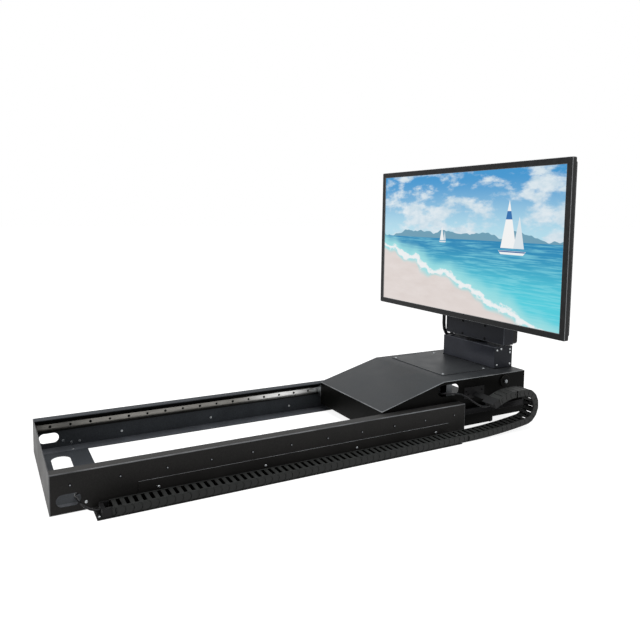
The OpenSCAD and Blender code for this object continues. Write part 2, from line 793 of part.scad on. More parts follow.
// Carriage
module carriage_side() {
    difference() {
        along_y(-side_y, -inner_y) polygon([[front_x, skirt_z], [c_x1, skirt_z], [c_x1, deck_z - skin_t],
            [crease_x, deck_z - skin_t], [front_x, ramp_under_z]]);
        along_y(-side_y - cut, -inner_y + cut) translate([side_slot_cx, side_slot_cz])
            obround(side_slot_l, side_slot_h);
        bar_y(pivot_x, pivot_z, -side_y - cut, -inner_y + cut, bush_od + 2 * run_c);
    }
}
module carriage_side_near() {
    color(base_black) difference() {
        carriage_side();
        bar_y(drive_x, drive_z, -side_y - cut, -inner_y + cut, drive_shaft_d + 2 * shaft_hole_c);
        for (p = bracket_screw_ps) bar_y(p[0], p[1], -side_y - cut, -inner_y + cut, wall_screw_d + 2 * run_c);
    }
}
module carriage_side_far() { color(base_black) to_far() carriage_side(); }
module ramp_cover() {
    color(carriage_grey) difference() {
        along_y(-side_y, side_y) polygon([[c_x0, ramp_z], [c_x0, ramp_z - skin_t], [crease_x, deck_z - skin_t],
            [c_x1, deck_z - skin_t], [c_x1, deck_z], [crease_x, deck_z]]);
        block([notch_x, -notch_y, deck_z - skin_t - cut], [c_x1 + cut, notch_y, deck_z + cut]);
        block([cover_x0 + window_inset, cover_off - cover_w / 2 + window_inset, deck_z - skin_t - cut],
            [cover_x1 - window_inset, cover_off + cover_w / 2 - window_inset, deck_z + cut]);
        for (p = cover_screws_xy)
            bar_z(p[0], p[1], deck_z - skin_t - cut, deck_z + cut, cover_screw_d + 2 * run_c);
    }
}
module service_cover() {
    color(carriage_grey) difference() {
        block([cover_x0, cover_off - cover_w / 2, deck_z], [cover_x1, cover_off + cover_w / 2, deck_z + cover_t]);
        for (p = cover_screws_xy)
            bar_z(p[0], p[1], deck_z - cut, deck_z + cover_t + cut, cover_screw_d + 2 * run_c);
    }
}
module carriage_screws() {
    color(zinc) {
        for (p = cover_screws_xy) {
            bar_z(p[0], p[1], deck_z - skin_t - screw_tail, deck_z + cover_t, cover_screw_d);
            bar_z(p[0], p[1], deck_z + cover_t, deck_z + cover_t + cover_screw_head_t, cover_screw_head_d);
        }
        for (p = bracket_screw_ps)
            screw_y(p[0], p[1], -side_y - bracket_t, bracket_t + skin_t + screw_tail, wall_screw_d, wall_screw_head_d,
                wall_screw_head_t);
    }
}
module front_panel() {
    color(base_black) block([front_x, -inner_y, skirt_z], [front_x + skin_t, inner_y, ramp_under_z]);
}
module floor_pan() {
    color(carriage_grey) block([front_x + skin_t, -inner_y, skirt_z], [pan_x1, inner_y, skirt_z + skin_t]);
}
module runner() {
    head_y = y_in - rail_t - rivet_tail_t - runner_c;
    neck_y = rail_y + runner_side_c;
    block([runner_x0, -head_y, rail_z - runner_h / 2], [runner_x1, -neck_y, rail_z + runner_h / 2]);
    block([runner_x0, -neck_y, rail_z - runner_neck_h / 2], [runner_x1, -side_y, rail_z + runner_neck_h / 2]);
    block([front_x, -rail_y + runner_side_c, rail_z - runner_tab_drop],
        [runner_x0, -side_y, base_h - base_t - runner_side_c]);
}
module runner_near() { color(steel) runner(); }
module runner_far() { color(steel) to_far() runner(); }
module traverse_motor() {
    z0 = skirt_z + skin_t;
    y1 = -inner_y + drive_box_w;
    color(steel) difference() {
        union() {
            block([drive_x - drive_box_l / 2, -inner_y, z0], [drive_x + drive_box_l / 2, y1, z0 + drive_box_h]);
            bar_y(drive_x, z0 + drive_box_h - motor_d / 2 - motor_inset, y1, y1 + motor_l, motor_d);
        }
        bar_y(drive_x, drive_z, -inner_y - cut, y1 - bore_floor, drive_shaft_d + 2 * run_c);
    }
}
module flip_motor() {
    y0 = flip_y0 + gear_w + flip_box_gap;
    y1 = y0 + drive_box_w;
    color(steel) difference() {
        union() {
            block([flip_x - flip_box_back, y0, flip_z - flip_box_half_h],
                [flip_x + flip_box_front, y1, flip_z + flip_box_half_h]);
            block([flip_x - flip_box_back + flip_foot_inset, y0, skirt_z + skin_t],
                [flip_x + flip_box_front - flip_foot_inset, y1, flip_z - flip_box_half_h]);
            bar_y(flip_x - flip_motor_back, flip_z, y1, y1 + flip_motor_l, flip_motor_d);
        }
        bar_y(flip_x, flip_z, y0 - cut, y1 - bore_floor, drive_shaft_d + 2 * run_c);
    }
}
module control_box() {
    color(black_plastic) block([drive_x + drive_box_l / 2 + control_gap, -inner_y + control_off, skirt_z + skin_t],
        [control_x1, -inner_y + control_off + control_w, skirt_z + skin_t + control_h]);
}
module pivot_bushes() {
    color(steel) both_sides() difference() {
        union() {
            bar_y(pivot_x, pivot_z, -side_y, -side_y + bush_l, bush_od);
            bar_y(pivot_x, pivot_z, -inner_y, -inner_y + bush_flange_t, bush_flange_d);
        }
        bar_y(pivot_x, pivot_z, -side_y - cut, -side_y + bush_l + cut, shaft_d + 2 * run_c);
    }
}
module chain_bracket() {
    color(black_plastic) difference() {
        union() {
            translate([upper_end[0], 0, upper_end[1]]) rotate([0, -upper_end[2], 0]) {
                chain_connector(-chain_h / 2 - bracket_t, -chain_h / 2 + lug_inset);
                block([link_gap, chain_y1, -chain_h / 2 - bracket_t],
                    [connector_l, -side_y - bracket_t, -chain_h / 2 + lug_inset]);
            }
            block([bracket_x0, -side_y - bracket_t, bracket_z0], [bracket_x1, -side_y, bracket_z1]);
        }
        for (p = bracket_screw_ps)
            bar_y(p[0], p[1], -side_y - bracket_t - cut, -side_y + cut, wall_screw_d + 2 * run_c);
    }
}
module carriage_cable() { color(black_plastic) tube(carriage_cable_route, cable_d, [0, 0, 1]); }
module roller_forks() {
    color(base_black) for (s = [-1, 1]) translate([fork_x, s * fork_y, 0]) {
        block([-fork_l, -fork_half, skirt_z - fork_t], [fork_nose, fork_half, skirt_z]);
        for (t = [-1, 1]) difference() {
            translate([0, t * (fork_half - fork_t / 2), 0])
                block([-fork_l, -fork_t / 2, roller_d / 2 - fork_cheek_drop],
                    [fork_nose, fork_t / 2, skirt_z - fork_t]);
            bar_y(0, roller_d / 2, -fork_half - cut, fork_half + cut, roller_axle_d + 2 * run_c);
        }
    }
}
module support_rollers() {
    color(black_plastic) for (s = [-1, 1]) translate([fork_x, s * fork_y, 0]) {
        bar_y(0, roller_d / 2, -roller_w / 2, roller_w / 2, roller_d);
        bar_y(0, roller_d / 2, -fork_half, fork_half, roller_axle_d);
    }
}

// Drives
module traverse_pinion() {
    color(steel) {
        translate([drive_x, 0, drive_z]) along_y(rack_y0, rack_y0 + gear_w) gear(gear_m, pinion_teeth, 270);
        bar_y(drive_x, drive_z, rack_y0 + gear_w, -inner_y + drive_box_w - shaft_end_gap, drive_shaft_d);
    }
}
module flip_pinion() {
    color(steel) {
        translate([flip_x, 0, flip_z]) along_y(flip_y0, flip_y0 + gear_w)
            gear(gear_m, pinion_teeth, flip_dir + half_turn + half_turn / pinion_teeth);
        bar_y(flip_x, flip_z, flip_y0 + gear_w, flip_y0 + gear_w + flip_box_gap + drive_box_w - shaft_end_gap,
            drive_shaft_d);
    }
}
module swivel_pinion() {
    color(steel) {
        translate([swivel_x, swivel_pinion_y, gear_z0]) linear_extrude(gear_w)
            gear(swivel_m, pinion_teeth, 90 + half_turn / pinion_teeth);
        bar_z(swivel_x, swivel_pinion_y, swivel_box_z1 - swivel_shaft_l, gear_z0, swivel_shaft_d);
    }
}

// Column
module pivot_shaft() {
    color(steel) difference() {
        bar_y(pivot_x, pivot_z, -side_y - slide_c, side_y + slide_c, shaft_d);
        both_sides() bar_y(pivot_x, pivot_z, -side_y - cut, -side_y + pivot_bolt_l, pivot_bolt_d + 2 * run_c);
    }
}
module pivot_discs() {
    color(base_black) both_sides() difference() {
        bar_y(pivot_x, pivot_z, -side_y - slide_c - disc_t, -side_y - slide_c, disc_d);
        bar_y(pivot_x, pivot_z, -side_y - disc_t - cut, -side_y + cut, pivot_bolt_d + 2 * run_c);
    }
}
module pivot_bolts() {
    color(zinc) both_sides() translate([pivot_x, -side_y - slide_c - disc_t, pivot_z]) rotate([90, 0, 0]) {
        cylinder(d = pivot_bolt_head_d, h = pivot_bolt_head_t, $fn = 6);
        translate([0, 0, -pivot_bolt_l]) cylinder(d = pivot_bolt_d, h = pivot_bolt_l);
    }
}
module flip_arms() {
    color(column_slate) both_sides() difference() {
        along_y(-arm_y - arm_t, -arm_y) {
            translate([pivot_x, pivot_z]) circle(d = arm_hub_d);
            polygon([[pivot_x + arm_low_x, pivot_z - arm_low_z], [column_x1 - arm_toe_inset, column_z0 - arm_toe_h],
                [column_x1 - arm_toe_inset, column_z0], [column_x0 + arm_heel_inset, column_z0],
                [pivot_x - arm_top_x, pivot_z + arm_top_z]]);
        }
        bar_y(pivot_x, pivot_z, -arm_y - arm_t - cut, -arm_y + cut, shaft_d + 2 * run_c);
    }
}
module flip_sector() {
    step = 360 / sector_teeth;
    color(steel) difference() {
        translate([pivot_x, 0, pivot_z]) along_y(flip_y0 + sector_inset, flip_y0 + gear_w - sector_inset) {
            gear_sector(gear_m, sector_teeth, flip_dir - step, round(sector_span / step) + 1);
            circle(d = arm_hub_d);
        }
        bar_y(pivot_x, pivot_z, flip_y0, flip_y0 + gear_w, shaft_d + 2 * run_c);
    }
}
module column_housing() {
    color(column_slate) difference() {
        block([column_x0, -column_w / 2 + column_t, column_z0], [column_x1, column_w / 2 - column_t, column_z1]);
        block([column_x0 + column_t, -column_w / 2, column_z0 + column_t],
            [column_x1 - column_t, column_w / 2, column_z1 - column_t]);
        bar_z(swivel_x, 0, column_z1 - column_t - cut, column_z1 + cut, swivel_bush_d + 2 * run_c);
    }
}
module column_end_covers() {
    color(column_slate) both_sides() difference() {
        block([column_x0, -column_w / 2, column_z0], [column_x1, -column_w / 2 + column_t, column_z1]);
        for (p = column_screw_ps)
            bar_y(p[0], p[1], -column_w / 2 - cut, -column_w / 2 + column_t + cut, column_screw_d + 2 * run_c);
    }
}
module column_screws() {
    color(zinc) both_sides() for (p = column_screw_ps)
        screw_y(p[0], p[1], -column_w / 2, column_t + screw_tail, column_screw_d, column_screw_head_d, column_screw_head_t);
}
module swivel_bush() {
    color(steel) difference() {
        union() {
            bar_z(swivel_x, 0, column_z1, column_z1 + bush_ring_t, swivel_flange_d);
            bar_z(swivel_x, 0, column_z1 - bush_depth, column_z1, swivel_bush_d);
        }
        bar_z(swivel_x, 0, column_z1 - bush_depth - cut, column_z1 + bush_ring_t + cut, spindle_d + 2 * run_c);
    }
}
module swivel_motor() {
    y0 = swivel_pinion_y - swivel_box_half;
    color(steel) difference() {
        union() {
            block([swivel_x - swivel_box_half, y0, column_z0 + column_t],
                [swivel_x + swivel_box_half, swivel_pinion_y + swivel_box_past, swivel_box_z1]);
            bar_y(swivel_x, column_z0 + column_t + swivel_motor_d / 2 + motor_inset, y0 - swivel_motor_l, y0, swivel_motor_d);
        }
        bar_z(swivel_x, swivel_pinion_y, swivel_box_z1 - swivel_shaft_l - bore_floor, swivel_box_z1 + cut, swivel_shaft_d + 2 * run_c);
    }
}

// Head
module swivel_spindle() {
    color(steel) {
        bar_z(swivel_x, 0, spindle_z0, spindle_z1, spindle_d);
        bar_z(swivel_x, 0, column_z1 + bush_ring_t + collar_gap, head_z0, collar_d);
    }
}
module swivel_gear() {
    color(steel) difference() {
        translate([swivel_x, 0, gear_z0]) linear_extrude(gear_w) gear(swivel_m, swivel_teeth, 270);
        bar_z(swivel_x, 0, gear_z0 - cut, gear_z0 + gear_w + cut, spindle_d + 2 * run_c);
    }
}
module head_housing() {
    color(column_slate) difference() {
        block([head_x0, -head_w / 2, head_z0], [head_x1, head_w / 2, head_z1]);
        block([head_x0 + head_t, -head_w / 2 + head_t, head_z0 + head_t],
            [head_x1 + cut, head_w / 2 - head_t, head_z1 - head_t]);
        bar_z(swivel_x, 0, head_z0 - cut, head_z0 + head_t + cut, spindle_d + 2 * run_c);
        block([mast_x0 - slide_c, -mast_w / 2 - slide_c, head_z1 - head_t - cut],
            [mast_x1 + slide_c, mast_w / 2 + slide_c, head_z1 + cut]);
        for (s = [-1, 1], z = head_bolt_zs)
            bar_x(s * head_bolt_y, z, head_x0 - cut, head_x0 + head_t + cut, head_bolt_d + 2 * run_c);
    }
}
module head_rear_cover() {
    zc = (head_z0 + head_z1) / 2;
    x1 = head_x1 + rear_cover_d;
    color(black_plastic) {
        difference() {
            along_x(head_x1, x1) translate([0, zc]) rounded(head_w, head_h, rear_cover_r);
            along_x(head_x1 - cut, x1 - cover_wall) translate([0, zc])
                rounded(head_w - 2 * cover_wall, head_h - 2 * cover_wall, rear_cover_r - cover_wall);
        }
        block([head_x1 + gland_inset, head_w / 2, gland_z0],
            [x1 - gland_inset, head_w / 2 + gland_l, gland_z0 + gland_h]);
    }
}
module head_bolts() {
    color(black_plastic) for (s = [-1, 1], z = head_bolt_zs) {
        bar_x(s * head_bolt_y, z, head_x0 - head_bolt_head_t, head_x0, head_bolt_head_d);
        bar_x(s * head_bolt_y, z, head_x0, mast_x0 + head_bolt_tail, head_bolt_d);
    }
    color(black_plastic) for (s = [-1, 1], t = [-1, 1]) {
        bar_x(s * vesa / 2, tv_zc + t * vesa / 2, shell_x1 + tv_arm_t, shell_x1 + tv_arm_t + tv_bolt_head_t,
            tv_bolt_head_d);
        bar_x(s * vesa / 2, tv_zc + t * vesa / 2, shell_x1 - tv_bolt_l, shell_x1 + tv_arm_t, tv_bolt_d);
    }
}
module mast() {
    color(column_slate) {
        difference() {
            block([mast_x0, -mast_w / 2, mast_z0], [mast_x1, mast_w / 2, mast_z1]);
            block([mast_x0 + mast_t, -mast_w / 2 + mast_t, mast_z0 - cut],
                [mast_x1 - mast_t, mast_w / 2 - mast_t, mast_z1 + cut]);
        }
        difference() {
            block([head_x0 + head_t, -mast_foot_w / 2, head_z0 + head_t],
                [mast_x0, mast_foot_w / 2, head_z1 - head_t]);
            for (s = [-1, 1], z = head_bolt_zs)
                bar_x(s * head_bolt_y, z, head_x0, mast_x0 + cut, head_bolt_d + 2 * run_c);
        }
    }
}
// Holes for the bolts between the TV's back and its arms
module tv_bolt_holes() {
    for (s = [-1, 1], t = [-1, 1])
        bar_x(s * vesa / 2, tv_zc + t * vesa / 2, shell_x1 - shell_t - cut, shell_x1 + tv_arm_t + cut,
            tv_bolt_d + 2 * run_c);
}
module tv_plate() {
    color(column_slate) block([plate_x0, -plate_w / 2, tv_zc - plate_h / 2], [mast_x0, plate_w / 2, tv_zc + plate_h / 2]);
}
module tv_arms() {
    color(column_slate) difference() {
        for (s = [-1, 1]) translate([0, s * vesa / 2, 0]) difference() {
            block([shell_x1, -tv_arm_w / 2, tv_zc - tv_arm_h / 2], [plate_x0, tv_arm_w / 2, tv_zc + tv_arm_h / 2]);
            block([shell_x1 + tv_arm_t, -tv_arm_w / 2 + tv_arm_t, tv_zc - tv_arm_h / 2 - cut],
                [plate_x0 - tv_arm_t, tv_arm_w / 2 - tv_arm_t, tv_zc + tv_arm_h / 2 + cut]);
        }
        tv_bolt_holes();
    }
}

// TV
picture_w = tv_w - 2 * bezel_w;
picture_h = tv_h - 2 * bezel_w;
panel_w = picture_w + 2 * panel_tuck;
panel_h = picture_h + 2 * panel_tuck;
shell_w = tv_w - 2 * shell_inset;
shell_h = tv_h - 2 * shell_inset;
box_w = tv_w - 2 * box_inset;
module tv_bezel() {
    color(black_plastic) difference() {
        along_x(tv_x0, tv_x1) translate([0, tv_zc]) rounded(tv_w, tv_h, tv_corner_r);
        along_x(tv_x0 - cut, tv_x1 + cut) translate([0, tv_zc]) square([picture_w, picture_h], center = true);
        along_x(tv_x0 + lip_t, tv_x1 + cut) translate([0, tv_zc])
            square([panel_w + 2 * panel_c, panel_h + 2 * panel_c], center = true);
    }
}
module tv_screen() {
    color("#7fb7d6") along_x(tv_x0 + lip_t, tv_x0 + lip_t + panel_t) translate([0, tv_zc])
        square([panel_w, panel_h], center = true);
}
module tv_rear_shell() {
    color(black_plastic) difference() {
        along_x(tv_x1, shell_x1) translate([0, tv_zc]) rounded(shell_w, shell_h, tv_corner_r);
        along_x(tv_x1 - cut, shell_x1 - shell_t) translate([0, tv_zc])
            square([shell_w - 2 * shell_t, shell_h - 2 * shell_t], center = true);
        tv_bolt_holes();
    }
}
module tv_rear_box() {
    color(black_plastic) difference() {
        along_x(shell_x1, box_x1) translate([0, box_z0 + box_h / 2]) rounded(box_w, box_h, tv_corner_r);
        along_x(shell_x1 - cut, box_x1 - shell_t) translate([0, box_z0 + box_h / 2])
            square([box_w - 2 * shell_t, box_h - 2 * shell_t], center = true);
    }
}
module tv_cable() { color(black_plastic) tube(tv_cable_route, sleeve_d, [0, 1, 0]); }

side_channel_near();
side_channel_far();
end_plate();
floor_plate();
rail_near();
rail_far();
rail_rivets();
wall_screws();
chain_tray();
chain_anchor();
chain_lower_run();
drive_rack();
junction_box();
base_cable();
carriage_side_near();
carriage_side_far();
ramp_cover();
service_cover();
carriage_screws();
front_panel();
floor_pan();
runner_near();
runner_far();
traverse_motor();
flip_motor();
control_box();
pivot_bushes();
chain_bracket();
chain_upper_run();
carriage_cable();
roller_forks();
support_rollers();
traverse_pinion();
flip_pinion();
swivel_pinion();
chain_loop();
chain_passing_run();
pivot_shaft();
pivot_discs();
pivot_bolts();
flip_arms();
flip_sector();
column_housing();
column_end_covers();
column_screws();
swivel_bush();
swivel_motor();
swivel_spindle();
swivel_gear();
head_housing();
head_rear_cover();
head_bolts();
mast();
tv_plate();
tv_arms();
tv_bezel();
tv_screen();
tv_rear_shell();
tv_rear_box();
tv_cable();
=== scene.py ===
# %% [markdown]
# # A TV lift that lies flat under a bed
# The solids of the lift come from CAD, in metres and in one shared frame: X runs out of the base's open
# end, Y to the far side and Z up. This lesson dresses them. Each step says what the real piece is, how it
# could be made, and why it is made the way that follows.

# %% Load the frame
import json
import math

import bmesh
import bpy
from mathutils import Matrix, Vector

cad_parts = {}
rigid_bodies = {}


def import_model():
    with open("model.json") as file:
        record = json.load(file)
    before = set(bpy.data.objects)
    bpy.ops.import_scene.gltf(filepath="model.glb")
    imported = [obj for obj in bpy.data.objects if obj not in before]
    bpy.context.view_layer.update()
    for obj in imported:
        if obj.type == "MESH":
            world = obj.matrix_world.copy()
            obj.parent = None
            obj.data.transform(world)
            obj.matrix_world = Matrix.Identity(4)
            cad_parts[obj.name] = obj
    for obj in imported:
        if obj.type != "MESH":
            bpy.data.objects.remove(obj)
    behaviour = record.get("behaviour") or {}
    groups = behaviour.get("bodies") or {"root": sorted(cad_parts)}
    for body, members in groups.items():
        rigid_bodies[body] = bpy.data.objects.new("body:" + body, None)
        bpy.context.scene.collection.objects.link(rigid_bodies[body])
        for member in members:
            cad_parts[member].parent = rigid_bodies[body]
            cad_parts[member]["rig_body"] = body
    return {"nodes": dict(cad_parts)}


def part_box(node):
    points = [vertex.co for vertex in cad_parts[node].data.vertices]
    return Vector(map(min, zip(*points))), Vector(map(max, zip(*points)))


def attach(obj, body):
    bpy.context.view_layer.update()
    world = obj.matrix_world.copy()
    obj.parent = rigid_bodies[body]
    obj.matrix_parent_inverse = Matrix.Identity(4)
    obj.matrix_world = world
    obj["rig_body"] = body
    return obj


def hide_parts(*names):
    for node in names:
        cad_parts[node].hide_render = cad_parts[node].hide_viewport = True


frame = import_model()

MM = 0.001
scene = bpy.context.scene
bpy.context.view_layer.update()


def in_scene(name, data):
    """A new object that is linked to the scene."""
    obj = bpy.data.objects.new(name, data)
    scene.collection.objects.link(obj)
    return obj


# %% [markdown]
# ## Camera
# The photograph was cropped after it was taken, so its optical axis isn't in the middle of the picture. The
# camera could be turned to make up for that, but then upright edges would lean. A lens shift keeps them
# upright, as a view camera does. The place, the turn and the focal length were solved from the corners of
# the base and the TV.

# %% Camera
PICTURE_PX = 640
FOCAL_PX = 612.8
AXIS_PX = (283.62, 268.08)  # where the optical axis meets the picture, from its upper left corner
SENSOR_MM = 36
CAMERA_PLACE = (-0.8136, -1.7972, 0.7555)
TURN, TILT, ROLL = (math.radians(angle) for angle in (-26.63, 84.89, 0.42))

camera_data = bpy.data.cameras.new("photo_camera")
camera_data.sensor_width = SENSOR_MM
camera_data.lens = FOCAL_PX / PICTURE_PX * SENSOR_MM
camera_data.shift_x = (PICTURE_PX / 2 - AXIS_PX[0]) / PICTURE_PX
camera_data.shift_y = (AXIS_PX[1] - PICTURE_PX / 2) / PICTURE_PX
camera = in_scene("photo_camera", camera_data)
camera.matrix_world = (Matrix.Translation(CAMERA_PLACE) @ Matrix.Rotation(TURN, 4, "Z")
                       @ Matrix.Rotation(TILT, 4, "X") @ Matrix.Rotation(ROLL, 4, "Z"))
scene.camera = camera
print("camera lens", round(camera_data.lens, 2), "mm")

# %% [markdown]
# ## One way to add a shader node
# Every finish below is a small tree of shader nodes. They could be wired by hand with many lines each. One
# short function that adds a node, sets it and links it keeps each finish readable as a recipe.

# %% Node helper and colours
def linear(hex_colour):
    """A colour as it is seen on a screen, turned to the linear light that shaders use."""
    parts = [int(hex_colour[i:i + 2], 16) / 255 for i in (1, 3, 5)]
    return tuple(c / 12.92 if c <= 0.04045 else ((c + 0.055) / 1.055) ** 2.4 for c in parts) + (1.0,)


def add(tree, kind, inputs=None, **settings):
    """Adds a shader node to a tree, with its settings, and its inputs as plain values or as links."""
    node = tree.nodes.new("ShaderNode" + kind)
    for name, value in settings.items():
        setattr(node, name, value)
    for name, value in (inputs or {}).items():
        if isinstance(value, bpy.types.NodeSocket):
            tree.links.new(value, node.inputs[name])
        else:
            node.inputs[name].default_value = value
    return node


print("black steel in linear light", [round(c, 4) for c in linear("#1b1a19")])

# %% [markdown]
# ## White surroundings
# The photograph is a cut-out on white. The sky could be lit until it is white, but the object would be
# overlit with it. Instead it shows white to the camera and to reflections, and lights the object at a plain
# level.

# %% World
AMBIENT = 0.38  # how strongly the surroundings light the object


def cleared(owner):
    """The emptied node tree of a world or a material."""
    owner.use_nodes = True
    owner.node_tree.nodes.clear()
    return owner.node_tree


def seen_directly(tree):
    """1 for camera, mirror and glass rays, 0 for the rays that light the object."""
    path = add(tree, "LightPath").outputs
    either = add(tree, "Math", {0: path["Is Camera Ray"], 1: path["Is Glossy Ray"]}, operation="MAXIMUM")
    return add(tree, "Math", {0: either.outputs[0], 1: path["Is Transmission Ray"]},
               operation="MAXIMUM").outputs[0]


world = bpy.data.worlds.new("studio")
tree = cleared(world)
level = add(tree, "MapRange", {"Value": seen_directly(tree), "To Min": AMBIENT, "To Max": 1.0})
sky = add(tree, "Background", {"Color": (1, 1, 1, 1), "Strength": level.outputs[0]})
add(tree, "OutputWorld", {"Surface": sky.outputs[0]})
scene.world = world
scene.view_settings.view_transform = "Standard"
print("world", world.name, "lights the object at", AMBIENT)

# %% [markdown]
# ## White floor
# The object stands on white paper and throws a soft shadow on it. A floor that only glows would show no
# shadow, and plain paper would come out grey. So the paper is a real diffuse surface, and the glow that
# makes it white to the camera and to reflections is added to it.

# %% Floor
FLOOR_GLOW = 0.84
FLOOR_HALF = 30  # metres from the middle to an edge
FLOOR_DROP = 0.5 * MM  # keeps the paper clear of the base's underside


def mesh_from(name, bm):
    """Turns a bmesh into a mesh."""
    mesh = bpy.data.meshes.new(name)
    bm.to_mesh(mesh)
    bm.free()
    return mesh


floor_bm = bmesh.new()
bmesh.ops.create_grid(floor_bm, x_segments=1, y_segments=1, size=FLOOR_HALF)
floor_mesh = mesh_from("studio_floor", floor_bm)
floor_mesh.transform(Matrix.Translation((0, 0, -FLOOR_DROP)))
floor = in_scene("studio_floor", floor_mesh)

paper = bpy.data.materials.new("studio_paper")
tree = cleared(paper)
matt = add(tree, "BsdfDiffuse", {"Color": linear("#b4b4b4")})
level = add(tree, "MapRange", {"Value": seen_directly(tree), "To Min": 0.0, "To Max": FLOOR_GLOW})
glow = add(tree, "Emission", {"Strength": level.outputs[0]})
both = add(tree, "AddShader", {0: matt.outputs[0], 1: glow.outputs[0]})
add(tree, "OutputMaterial", {"Surface": both.outputs[0]})
floor_mesh.materials.append(paper)
print("floor", floor.name, "is covered with", paper.name)

# %% [markdown]
# ## Soft lamps
# The light in the photograph comes mostly from the side that the screen faces and from above, with no hard
# shadow. Sun lamps would draw hard edges. Large area lamps are the studio's soft boxes: the larger they
# are, the softer their shadows.

# %% Lamps
LAMPS = {  # name: place, point that it faces, size in metres, watts
    "overhead": ((0.1, 0.2, 2.8), (0.2, 0, 0), 2.4, 50),
    "screen_side": ((-6.0, 0.6, 2.6), (0.9, 0, 0.2), 3.0, 135),
    "front": ((1.5, -2.4, 1.6), (0.4, 0.1, 0.05), 1.6, 15),
}
for name, (place, target, size, watts) in LAMPS.items():
    lamp_data = bpy.data.lights.new(name, "AREA")
    lamp_data.size = size
    lamp_data.energy = watts
    lamp = in_scene(name, lamp_data)
    lamp.location = place
    lamp.rotation_euler = (Vector(target) - Vector(place)).to_track_quat("-Z", "Y").to_euler()
print("lamps", list(LAMPS))

# %% [markdown]
# ## Coated steel
# The lift is made of sheet steel with a baked powder coat. A flat colour would do from far away, but coated
# steel, zinc and moulded plastic differ in how they break up a reflection. So each finish has a slow
# cloudiness, a fine grain in its relief and its own shine. The grain is measured in millimetres.

# %% Coated sheet steel
CLOUD_MM = 90  # size of the slow clouds
NOISE_SPAN = {"From Min": 0.3, "From Max": 0.7}  # nearly all values of a noise lie in it
TONES = (0.7, 1.1)  # the darkest and the lightest mottle, as shares of the colour


def blank(name):
    """A new material, its empty tree, and the surface's own place in metres."""
    material = bpy.data.materials.new(name)
    tree = cleared(material)
    return material, tree, add(tree, "TexCoord").outputs["Object"]


def coated_steel(name, colour, worn_and_highlight_colour, shine, mirror, grain_mm, relief_mm):
    """Powder coat baked on sheet steel: pebbled, a little cloudy, and painted lighter along its edges, for
    wear and a painted highlight.
    """
    material, tree, place = blank(name)
    cloud = add(tree, "TexNoise", {"Vector": place, "Scale": 1000 / CLOUD_MM, "Detail": 4})
    pebble = add(tree, "TexNoise", {"Vector": place, "Scale": 1000 / grain_mm, "Detail": 2})
    edge = add(tree, "Attribute", attribute_name="edge")
    wear_and_highlight = add(tree, "MapRange", {"Value": cloud.outputs["Fac"], "From Min": 0.3, "From Max": 0.6,
                                  "To Min": 0.4, "To Max": 1.0})
    # The marked edges are painted lighter: wear, and a painted highlight where the light catches them.
    painted_highlight = add(tree, "Math", {0: edge.outputs["Fac"], 1: wear_and_highlight.outputs[0]}, operation="MULTIPLY")
    both = add(tree, "Math", {0: cloud.outputs["Fac"], 1: pebble.outputs["Fac"]}, operation="ADD")
    mottle = add(tree, "MapRange", {"Value": both.outputs[0], "From Min": 0.75, "From Max": 1.25})
    dark, light = (tuple(share * c for c in linear(colour)[:3]) + (1,) for share in TONES)
    tone = add(tree, "Mix", {0: mottle.outputs[0], 6: dark, 7: light}, data_type="RGBA")
    skin = add(tree, "Mix", {0: painted_highlight.outputs[0], 6: tone.outputs[2], 7: linear(worn_and_highlight_colour)}, data_type="RGBA")
    rough = add(tree, "MapRange", {"Value": cloud.outputs["Fac"], **NOISE_SPAN,
                                   "To Min": shine - 0.06, "To Max": shine + 0.06})
    bump = add(tree, "Bump", {"Height": pebble.outputs["Fac"], "Strength": 0.5, "Distance": relief_mm * MM})
    # Matting filler takes most of the head-on reflection, so black stays black until it is seen edge on.
    shader = add(tree, "BsdfPrincipled", {
        "Base Color": skin.outputs[2], "Roughness": rough.outputs[0], "Normal": bump.outputs[0],
        "Specular IOR Level": mirror})
    add(tree, "OutputMaterial", {"Surface": shader.outputs[0]})
    return material


# A real pebble is about 0.6 mm. It is drawn at 2 to 3 mm so that it shows at this distance.
# The base's outside is a warm black with a coarse sparkle.
base_coat = coated_steel("textured_black_powder_coat", "#272625", "#a5a7aa", 0.46, 0.12, 3.0, 0.25)
# The carriage's sides are the deepest black, so that its cover stands out above them.
# The same black is painted shade above and under the rails, inside the chain and on the rivets' tails.
black_coat_and_painted_shade = coated_steel("smooth_black_powder_coat_and_painted_shade", "#0b0b0a", "#4d4b48", 0.42, 0.04, 3.0, 0.12)
# The cover is a lighter and finer grey, and its edges get a bright painted highlight and wear.
carriage_coat = coated_steel("satin_grey_powder_coat", "#313335", "#b4b7b9", 0.42, 0.14, 2.4, 0.12)
# The column and the head are bluer than what is below them. The column's housing is painted a shade paler:
# painted light, for its front, which faces the lamps.
column_coat = coated_steel("slate_powder_coat", "#2b2d33", "#7d8188", 0.44, 0.1, 2.4, 0.12)
slate_coat_painted_lighter = coated_steel("slate_powder_coat_painted_lighter", "#34363d", "#7d8188", 0.44, 0.12, 2.4, 0.12)
# Inside the base the far wall and the floor plate are the same black painted greyer and a little blue:
# painted light, for the glow of the white floor on them. The foot flanges that face up are paler still:
# dust, and a painted sheen.
painted_floor_light_coat = coated_steel("black_powder_coat_with_painted_floor_light", "#3c3f43", "#9a9da1", 0.6, 0.1, 3.0, 0.25)
dust_and_painted_sheen = coated_steel("dust_and_painted_sheen_on_powder_coat", "#585b60", "#9a9da1", 0.6, 0.1, 3.0, 0.25)
print("coats", [coat.name for coat in (base_coat, black_coat_and_painted_shade, carriage_coat, column_coat, slate_coat_painted_lighter,
                                       painted_floor_light_coat, dust_and_painted_sheen)])

